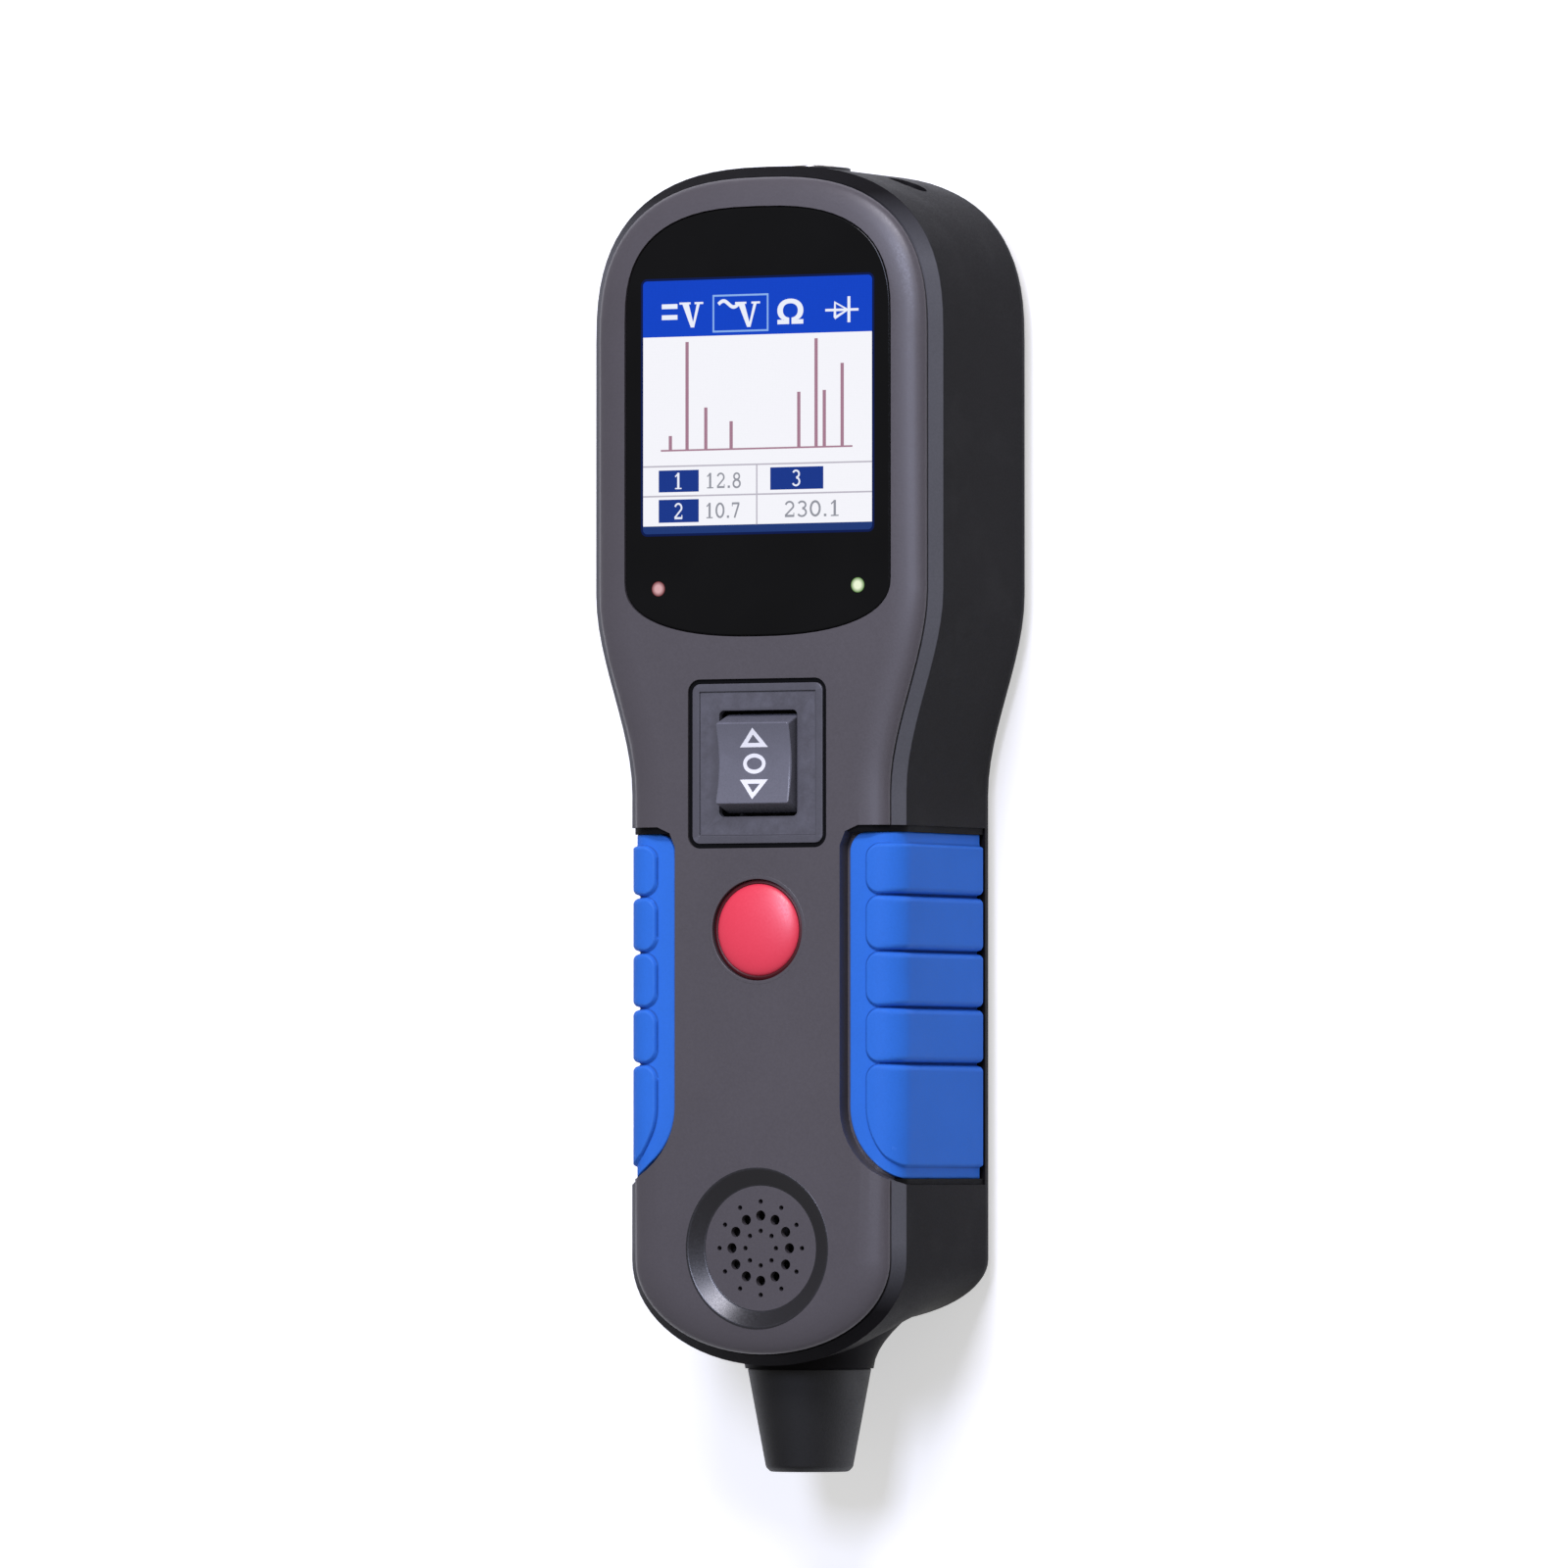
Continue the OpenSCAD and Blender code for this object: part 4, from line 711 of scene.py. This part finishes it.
screen_blue = lit_area("screen_blue", linear(16, 68, 200))
screen_band = lit_area("screen_band", linear(32, 58, 120))
screen_white = lit_area("screen_white", linear(246, 246, 252), tone=0.012)
screen_line = lit_area("screen_line", linear(192, 188, 200))
screen_box = lit_area("screen_box", linear(26, 56, 140))
screen_ink = lit_area("screen_ink", linear(150, 152, 162))
screen_trace = lit_area("screen_trace", linear(168, 126, 146))
screen_icon = lit_area("screen_icon", linear(236, 240, 252), tone=0.01)
screen_frame = lit_area("screen_frame", linear(140, 180, 240))

LAYER = 0.015


def screen_area(name, outline, finish, layer):
    """A thin lit area bonded on the window, one layer thick, with higher layers on top."""
    base = WINDOW_TOP + layer * LAYER
    return flat_slab(name, outline, base - 0.01, base + LAYER, finish, slot="display_blue")


screen_rim = lit_area("screen_rim", linear(10, 26, 78))
screen_area("screen_surround", round_rectangle(45.9, 44.9, 1.2) + [0, SCREEN_Y], screen_rim, 0)
screen_area("screen_field", round_rectangle(45.0, 44.0, 0.8) + [0, SCREEN_Y], screen_white, 1)
screen_area("screen_header", corner_pair(-22.54, 22.54, 83.55, 93.34, 0.8), screen_blue, 2)
screen_area("screen_foot", corner_pair(22.54, -22.54, 50.6, 49.26, 0.8), screen_band, 2)
for k, y in enumerate((61.0, 55.8)):
    screen_area(f"screen_rule_{k + 1}", box_outline(-22.5, 22.5, y - 0.14, y + 0.14), screen_line, 2)
screen_area("screen_divider", box_outline(-0.2, 0.08, 50.5, 60.86), screen_line, 2)
screen_area("screen_label_first", box_outline(-19.4, -11.5, 56.5, 60.3), screen_box, 2)
screen_area("screen_label_second", box_outline(-19.4, -11.5, 51.2, 55.2), screen_box, 2)
screen_area("screen_label_third", box_outline(2.6, 13.0, 56.5, 60.4), screen_box, 2)
screen_area("screen_axis", box_outline(-19.0, 18.7, 63.6, 63.9), screen_trace, 2)
for k, (x, top) in enumerate([(-17.1, 66.3), (-13.8, 82.6), (-10.1, 71.1), (-5.1, 68.6), (8.2, 73.4),
                              (11.6, 82.6), (13.2, 73.6), (16.7, 78.2)]):
    screen_area(f"screen_bar_{k + 1}", box_outline(x - 0.32, x + 0.32, 63.9, top), screen_trace, 3)
for k, y in enumerate((88.85, 86.95)):
    screen_area(f"screen_dash_{k + 1}", box_outline(-18.8, -15.7, y - 0.42, y + 0.42), screen_icon, 3)
frame_box = (-8.76, 2.25, 84.1, 90.65)
screen_area("screen_frame_low", box_outline(frame_box[0], frame_box[1], 84.1, 84.42), screen_frame, 3)
screen_area("screen_frame_high", box_outline(frame_box[0], frame_box[1], 90.33, 90.65), screen_frame, 3)
screen_area("screen_frame_left", box_outline(-8.76, -8.44, 84.42, 90.33), screen_frame, 3)
screen_area("screen_frame_right", box_outline(1.93, 2.25, 84.42, 90.33), screen_frame, 3)
wave = np.linspace(0, 1, 25)
wave_line = np.column_stack([-7.6 + 4.0 * wave, 89.0 + 0.55 * np.sin(2 * np.pi * wave)])
screen_area("screen_wave", stroke_outline(wave_line, 0.62), screen_icon, 3)
screen_area("screen_diode_lead", box_outline(13.4, 19.9, 87.18, 87.62), screen_icon, 3)
screen_area("screen_diode_bar", box_outline(17.75, 18.3, 85.2, 89.7), screen_icon, 4)
diode_line = [(15.3, 86.1), (15.3, 88.7), (17.8, 87.4), (15.2, 86.0)]
screen_area("screen_diode_side", stroke_outline(diode_line, 0.52), screen_icon, 4)


def display_sign(name, sign, x0, x1, y0, y1, finish, layer, bold=0.0):
    """A sign of the display as a thin mesh, fitted to a box. It is made a mesh before its place is
    applied."""
    curve = bpy.data.curves.new(name + "_letters", "FONT")
    curve.body = sign
    curve.offset = bold
    curve.resolution_u = 6
    letters = bpy.data.objects.new(name + "_letters", curve)
    bpy.context.scene.collection.objects.link(letters)
    bpy.context.view_layer.update()
    flat = bpy.data.meshes.new_from_object(letters)
    bpy.data.objects.remove(letters)
    bpy.data.curves.remove(curve)
    points = np.empty(len(flat.vertices) * 3)
    flat.vertices.foreach_get("co", points)
    points = points.reshape(-1, 3)
    low, high = points.min(axis=0), points.max(axis=0)
    scale = np.array([(x1 - x0) / (high[0] - low[0]), (y1 - y0) / (high[1] - low[1])])
    base = WINDOW_TOP + layer * LAYER
    placed_points = np.column_stack([(points[:, :2] - low[:2]) * scale + [x0, y0],
                                     np.full(len(points), base + LAYER)])
    flat.vertices.foreach_set("co", (placed_points * MM).ravel())
    flat.materials.clear()
    flat.materials.append(finish)
    flat.name = name
    work = bmesh.new()
    work.from_mesh(flat)
    for face in work.faces:
        face.normal_update()
    bmesh.ops.reverse_faces(work, faces=[f for f in work.faces if f.normal.z < 0])
    work.to_mesh(flat)
    work.free()
    piece = bpy.data.objects.new(name, flat)
    bpy.context.scene.collection.objects.link(piece)
    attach(piece, "case")
    return piece


def arc(x, y, across, over, start, end, steps=14):
    """Points of part of an ellipse from its middle, half sizes and two angles in degrees."""
    a = np.radians(np.linspace(start, end, steps))
    return np.column_stack([x + across * np.cos(a), y + over * np.sin(a)])


def bar(x0, x1, y, width=0.08):
    """A level stroke, as points and pen width."""
    return [(x0, y), (x1, y)], width


def stem(x, y0, y1, width=0.18):
    """An upright stroke, as points and pen width."""
    return [(x, y0), (x, y1)], width


# Digits, in heights of a digit: the advance, then strokes of points and pen width
DIGITS = {
    "0": (0.86, [(arc(0.4, 0.5, 0.3, 0.44, 0, 360, 33), 0.14)]),
    "1": (0.86, [stem(0.4, 0, 1, 0.16), ([(0.4, 0.96), (0.16, 0.76)], 0.09), bar(0.14, 0.66, 0.04)]),
    "2": (0.86, [(arc(0.4, 0.7, 0.26, 0.25, 165, -30), 0.12), ([(0.64, 0.6), (0.12, 0.1)], 0.11),
                 bar(0.1, 0.7, 0.07, 0.14), stem(0.69, 0.02, 0.26, 0.06)]),
    "3": (0.86, [(arc(0.37, 0.74, 0.25, 0.21, 155, -85), 0.12),
                 (arc(0.37, 0.28, 0.28, 0.24, 85, -155), 0.12)]),
    "7": (0.86, [bar(0.1, 0.7, 0.93, 0.14), ([(0.66, 0.92), (0.3, 0.0)], 0.13),
                 stem(0.12, 0.74, 0.98, 0.06)]),
    "8": (0.86, [(arc(0.4, 0.74, 0.22, 0.2, 0, 360, 25), 0.12),
                 (arc(0.4, 0.27, 0.27, 0.24, 0, 360, 25), 0.13)]),
    ".": (0.44, [stem(0.2, 0.0, 0.16, 0.17)]),
}


def plain_number(name, number, x0, x1, y0, height, finish, layer):
    """A plain number of the display, fitted between two sides on a base line. Every stroke is a
    thin closed slab, and all of them are one mesh."""
    advance = np.cumsum([0.0] + [DIGITS[digit][0] for digit in number])
    stretch = (x1 - x0) / advance[-1]
    base = WINDOW_TOP + layer * LAYER
    slabs, faces, first = [], [], 0
    for digit, at in zip(number, advance):
        for line, width in DIGITS[digit][1]:
            line = (np.asarray(line, float) + [at, 0]) * [stretch, height] + [x0, y0]
            edge = stroke_outline(line, width * (height + stretch) / 2)
            n = len(edge)
            slabs.append(np.column_stack([np.tile(edge, (2, 1)), np.repeat([base - 0.01, base + LAYER], n)]))
            k = np.arange(n // 2 - 1)
            lower = first + np.stack([k, k + 1, n - 2 - k, n - 1 - k], axis=-1)
            k = np.arange(n)
            after = (k + 1) % n
            sides = first + np.stack([k, after, n + after, n + k], axis=-1)
            faces += lower[:, ::-1].tolist() + (lower + n).tolist() + sides.tolist()
            first += 2 * n
    return finish_mesh(name, np.vstack(slabs), faces, finish, slot="display_blue")


def volt_letter(name, x0, x1, y0, y1):
    """The letter V with serifs: a broad left stroke and a slim right stroke that meet at the foot,
    and a short bar over each."""
    foot = x0 + 0.55 * (x1 - x0)
    parts = {"left": [(x0 + 0.45, y1), (foot - 0.35, y0), (foot + 0.35, y0), (x0 + 1.75, y1)],
             "right": [(x1 - 1.2, y1), (foot - 0.1, y0), (foot + 0.3, y0), (x1 - 0.6, y1)]}
    for k, part in parts.items():
        screen_area(f"{name}_{k}", part, screen_icon, 3 if k == "left" else 4)
    screen_area(name + "_bar_left", box_outline(x0, x0 + 2.2, y1 - 0.36, y1), screen_icon, 5)
    screen_area(name + "_bar_right", box_outline(x1 - 1.7, x1, y1 - 0.36, y1), screen_icon, 5)


volt_letter("sign_direct_volts", -15.3, -10.6, 85.1, 89.5)
volt_letter("sign_wave_volts", -4.3, 0.6, 84.9, 89.3)
display_sign("word_ohms", "Ω", 4.0, 9.1, 85.2, 89.6, screen_icon, 3, 0.03)
plain_number("number_first", "1", -16.5, -14.4, 57.0, 2.85, screen_icon, 4)
plain_number("number_second", "2", -16.5, -14.4, 51.75, 2.85, screen_icon, 4)
plain_number("number_third", "3", 6.75, 8.85, 57.05, 2.85, screen_icon, 4)
plain_number("reading_first", "12.8", -10.2, -2.9, 57.0, 2.7, screen_ink, 3)
plain_number("reading_second", "10.7", -10.3, -3.1, 51.8, 2.7, screen_ink, 3)
plain_number("reading_third", "230.1", 5.2, 16.6, 51.7, 2.8, screen_ink, 3)

for name, x, core, rim in (("lamp_red", -19.5, linear(214, 168, 172), linear(96, 18, 26)),
                           ("lamp_green", 19.7, linear(236, 246, 214), linear(70, 120, 40))):
    centre = (x, 39.7, WINDOW_TOP)
    dot = lamp_dot(name + "_glow", core, rim, centre, 1.35)
    turned(name, [(0, 0.05), (0.8, 0.04), (1.35, 0.0), (1.35, -0.05)], dot, centre, radius=0.1, steps=48,
           slot="led_red" if x < 0 else "led_green")


# ---------------------------------------------------------------- rocker switch
SWITCH_Y = 102.5 - MIDDLE


def rectangle_rings(width, length, corner, profile, y=SWITCH_Y):
    """Rings of a rounded rectangle at (inset, height) pairs: the inset narrows both sides and the
    corner radius together."""
    rings = []
    for inset, height in profile:
        flat = round_rectangle(width - 2 * inset, length - 2 * inset, max(corner - inset, 0.05)) + [0, y]
        rings.append(np.column_stack([flat, np.full(len(flat), height)]))
    return rings


PLATE_BAND = 5.15
plate_profile = filleted([(0, 37.4), (0, 38.9), (1.4, 38.9), (1.4, 38.6), (2.2, 38.6), (4.9, 38.6),
                          (PLATE_BAND, 38.6), (PLATE_BAND, 37.4)], 0.18, 4)
inside = plate_profile[:, 0] >= 4.0
outer_part, inner_part = plate_profile[~inside], plate_profile[inside] - [PLATE_BAND, 0]
plate_rings = rectangle_rings(25.6, 27.8, 1.5, outer_part)
plate_rings += rectangle_rings(15.3, 18.4, 0.9, inner_part)
ringed("switch_frame", plate_rings, switch_grey, caps=(False, False), stands_for=("switch_plate",),
       slot="switch_grey")

# A dark ring of painted shade lying in the groove round the switch plate
groove_shade_profile = [(0, 37.2), (0, 38.5), (0.12, 38.6), (0.7, 38.6), (0.82, 38.5), (0.82, 37.2), (0, 37.2)]
ringed("switch_groove_shade", rectangle_rings(27.22, 29.42, 2.2, groove_shade_profile), groove_shade_black,
       caps=(False, False), slot="switch_black")

ROCKER_TOP, ROCKER_DISH, ROCKER_CREST, ROCKER_HALF = 41.0, 1.1, 7.0, 8.6


def rocker_height(y):
    """Height of the rocker's hollow top at y from its middle: a parabola that is lowest there."""
    return ROCKER_TOP - ROCKER_DISH * (1 - (y / ROCKER_CREST) ** 2)


top_y = np.linspace(-ROCKER_CREST, ROCKER_CREST, 41)
side_profile = np.vstack([
    [[-ROCKER_HALF + 2.4, 33.4], [-ROCKER_HALF, 35.8], [-ROCKER_HALF, 36.6]],
    np.column_stack([top_y, rocker_height(top_y)]),
    [[ROCKER_HALF, 36.6], [ROCKER_HALF, 35.8], [ROCKER_HALF - 2.4, 33.4]]])


def rocker_body():
    """The rocker: its side profile, rounded at the crests, drawn in near both side faces so that
    the long edges are rounded too."""
    loop = filleted(np.vstack([side_profile, side_profile[:1]]), 0.45, 4)[:-1]
    centre = np.array([0, 36.5])
    half = 7.15
    inset = np.array([0.45, 0.22, 0.08, 0.0, 0.0, 0.08, 0.22, 0.45])
    near_side = half - np.array([0.0, 0.07, 0.22, 0.45])
    x = np.concatenate([-near_side, near_side[::-1]])
    away = loop - centre
    scale = 1 - inset[:, None, None] / np.linalg.norm(away, axis=1)[None, :, None]
    rings = centre + away[None] * scale
    rings = np.concatenate([np.broadcast_to(x[:, None, None], rings.shape[:2] + (1,)), rings], axis=-1)
    return ringed("rocker_paddle", rings + [0, SWITCH_Y, 0], rocker_grey, body="rocker",
                  stands_for=("rocker",), slot="rocker_grey", sharp=50.0)


rocker_body()


def rocker_mark(name, outer, inner):
    """A printed mark between two closed outlines of equal count, laid on the rocker's hollow."""
    rings = []
    for flat, lift in ((inner, 0.0), (inner, 0.03), (outer, 0.03), (outer, 0.0)):
        rings.append(np.column_stack([flat[:, 0], flat[:, 1] + SWITCH_Y, rocker_height(flat[:, 1]) + lift]))
    rings.append(rings[0])
    return ringed(name, rings, mark_white, caps=(False, False), body="rocker", slot="rocker_grey")


def dense(corners, steps=16):
    """A closed outline with each side cut into equal steps."""
    p = np.asarray(corners, float)
    q = np.roll(p, -1, axis=0)
    t = np.linspace(0, 1, steps, endpoint=False)[None, :, None]
    return (p[:, None] * (1 - t) + q[:, None] * t).reshape(-1, 2)


def shrunk(corners, by):
    """A triangle drawn in by a distance: each corner moves along its bisector so that every side
    moves in by that much."""
    p = np.asarray(corners, float)
    a, b = np.roll(p, 1, axis=0) - p, np.roll(p, -1, axis=0) - p
    a, b = a / np.linalg.norm(a, axis=1)[:, None], b / np.linalg.norm(b, axis=1)[:, None]
    half = np.arccos(np.clip((a * b).sum(axis=1), -1, 1)) / 2
    way = a + b
    way = way / np.linalg.norm(way, axis=1)[:, None]
    return p + way * (by / np.sin(half))[:, None]


up_mark = np.array([[-2.75, 2.75], [2.75, 2.75], [0.0, 6.1]])
down_mark = np.array([[2.75, -2.85], [-2.75, -2.85], [0.0, -6.3]])
rocker_mark("mark_up", dense(up_mark), dense(shrunk(up_mark, 0.74)))
rocker_mark("mark_down", dense(down_mark), dense(shrunk(down_mark, 0.74)))
circle = np.linspace(0, 2 * np.pi, 48, endpoint=False)
round_mark = np.stack([np.cos(circle), np.sin(circle)], axis=-1)
rocker_mark("mark_middle", round_mark * [2.2, 1.75] + [0, -0.1], round_mark * [1.5, 1.05] + [0, -0.1])


# ---------------------------------------------------------------- push button
rise = np.radians(np.arange(0, 91, 6))
dome = np.column_stack([8.0 * np.cos(rise), 38.2 + 1.8 * np.sin(rise)]).tolist()
post_and_flange = [(0, 32.0), (2, 32.0), (2, 35.0), (10.3, 35.0), (10.3, 36.1), (8.85, 36.1),
                   (8.85, 37.35), (8.0, 37.35)]
turned("button_dome", post_and_flange + dome, button_red, BUTTON, radius=0.15, body="button",
       stands_for=("button_cap",), slot="button_red")
# The skirt seen in the gap round the button takes the red with painted shade
turned_closed("button_skirt", [(8.74, 37.4), (8.74, 38.3), (8.2, 38.55), (7.9, 38.4), (7.9, 37.4)],
              groove_shade_red, BUTTON, radius=0.14, body="button", slot="button_red")


# ---------------------------------------------------------------- turned pieces at both ends
NECK = (0, -MIDDLE, 19.5)
SOCKET = (0, -MIDDLE, 18.0)
turned("boot_sleeve", [(3.25, 2.4), (3.25, -20.6), (6.8, -20.6), (7.6, -19.8), (10.8, -2.6), (7.9, -2.6),
                       (7.9, 0.4), (10.0, 0.4), (10.0, 2.4), (3.25, 2.4)], boot_rubber, NECK, along="y",
       radius=0.35, stands_for=("cable_boot",), slot="boot_black")
turned("socket_ring", [(4.06, 197.0), (5.5, 197.0), (5.5, 206.0), (6.5, 206.0), (6.5, 207.0),
                       (4.06, 207.0), (4.06, 197.0)], switch_black, SOCKET, along="y",
       stands_for=("socket_collar",), slot="switch_black")
turned("socket_tube", [(0, 190.0), (4.0, 190.0), (4.0, 195.8), (5.0, 195.8), (5.0, 197.0), (4.0, 197.0),
                       (4.0, 207.4), (2.0, 207.4), (2.0, 193.4), (0, 193.4)], socket_metal, SOCKET,
       along="y", stands_for=("probe_socket",), slot="brass")


# ---------------------------------------------------------------- floor, light and camera
def floor_finish():
    """Pale floor. A camera, glossy or transmission ray also sees a share of plain white, which
    lifts the floor to white and keeps the shadow on it."""
    finish, tree, shader = blank_finish("floor_white", Roughness=0.9, Specular_IOR_Level=0.0)
    nodes, links = tree.nodes, tree.links
    place = nodes.new("ShaderNodeTexCoord").outputs["Object"]
    cloud = noise(nodes, links, place, 6.0, 3.0, 0.5)
    shade = blended(nodes, links, cloud.outputs[0], (0.80, 0.80, 0.80, 1.0), (0.82, 0.82, 0.82, 1.0))
    links.new(shade, shader.inputs["Base Color"])
    path = nodes.new("ShaderNodeLightPath")
    seen = arithmetic(nodes, links, "MAXIMUM", path.outputs["Is Camera Ray"], path.outputs["Is Glossy Ray"])
    seen = arithmetic(nodes, links, "MAXIMUM", seen, path.outputs["Is Transmission Ray"])
    glow = nodes.new("ShaderNodeEmission")
    glow.inputs["Color"].default_value = (1.0, 1.0, 1.0, 1.0)
    links.new(arithmetic(nodes, links, "MULTIPLY", seen, 0.52), glow.inputs["Strength"])
    total = nodes.new("ShaderNodeAddShader")
    links.new(shader.outputs[0], total.inputs[0])
    links.new(glow.outputs[0], total.inputs[1])
    links.new(total.outputs[0], nodes["Material Output"].inputs["Surface"])
    return finish


def floor_plane():
    """A wide round floor under the tester: rings of growing radius, level with its back."""
    radius = np.array([0.0, 400.0, 1600.0, 4000.0])
    turn = np.linspace(0, 2 * np.pi, 64, endpoint=False)
    rings = np.stack([radius[:, None] * np.cos(turn), radius[:, None] * np.sin(turn),
                      np.zeros((4, 64))], axis=-1)
    mesh = bpy.data.meshes.new("floor")
    mesh.from_pydata((rings.reshape(-1, 3) * MM).tolist(), [], ring_faces(4, 64))
    work = bmesh.new()
    work.from_mesh(mesh)
    bmesh.ops.remove_doubles(work, verts=work.verts, dist=1e-6)
    bmesh.ops.recalc_face_normals(work, faces=work.faces)
    if sum(f.normal.z for f in work.faces) < 0:
        bmesh.ops.reverse_faces(work, faces=work.faces)
    work.to_mesh(mesh)
    work.free()
    mesh.materials.append(floor_finish())
    floor = bpy.data.objects.new("floor", mesh)
    bpy.context.scene.collection.objects.link(floor)


floor_plane()


def soft_lamp(name, place, aim, width, height, strength, colour=(1.0, 1.0, 1.0)):
    """A rectangular soft lamp that faces its aim. Places are in mm."""
    data = bpy.data.lights.new(name, "AREA")
    data.shape = "RECTANGLE"
    data.size, data.size_y = width * MM, height * MM
    data.energy = strength
    data.color = colour
    lamp = bpy.data.objects.new(name, data)
    lamp.location = Vector(place) * MM
    way = (Vector(aim) - Vector(place)).normalized()
    lamp.rotation_euler = way.to_track_quat("-Z", "Y").to_euler()
    bpy.context.scene.collection.objects.link(lamp)
    return lamp


soft_lamp("lamp_over", (90, 480, 1480), (0, 10, 30), 420, 480, 11.6, (0.70, 0.74, 1.0))
soft_lamp("lamp_top", (230, 930, 1030), (0, 20, 30), 520, 320, 10.8, (0.90, 0.88, 1.0))

world = bpy.data.worlds.new("soft_room")
world.use_nodes = True
bpy.context.scene.world = world
sky = world.node_tree.nodes["Background"]
sky.inputs["Color"].default_value = (1.0, 0.98, 0.97, 1.0)
sky.inputs["Strength"].default_value = 0.22

bpy.context.scene.view_settings.view_transform = "Standard"


def camera():
    """Camera above the tester, 28 degrees round towards its right side and a little below square,
    with the tester's length upright in the picture."""
    round_by, up_by = math.radians(28.0), math.radians(-1.48)
    back = Vector((math.sin(round_by) * math.cos(up_by), math.sin(up_by),
                   math.cos(round_by) * math.cos(up_by)))
    right = Vector((0, 1, 0)).cross(back).normalized()
    up = back.cross(right)
    data = bpy.data.cameras.new("camera")
    data.lens, data.sensor_width, data.sensor_fit = 348.75, 36.0, "AUTO"
    data.clip_start, data.clip_end = 0.1, 20.0
    eye = bpy.data.objects.new("camera", data)
    turn = Matrix((right, up, back)).transposed().to_4x4()
    eye.matrix_world = Matrix.Translation((Vector((4.0, 5.5, 36.5)) + back * 2635.0) * MM) @ turn
    bpy.context.scene.collection.objects.link(eye)
    bpy.context.scene.camera = eye


camera()
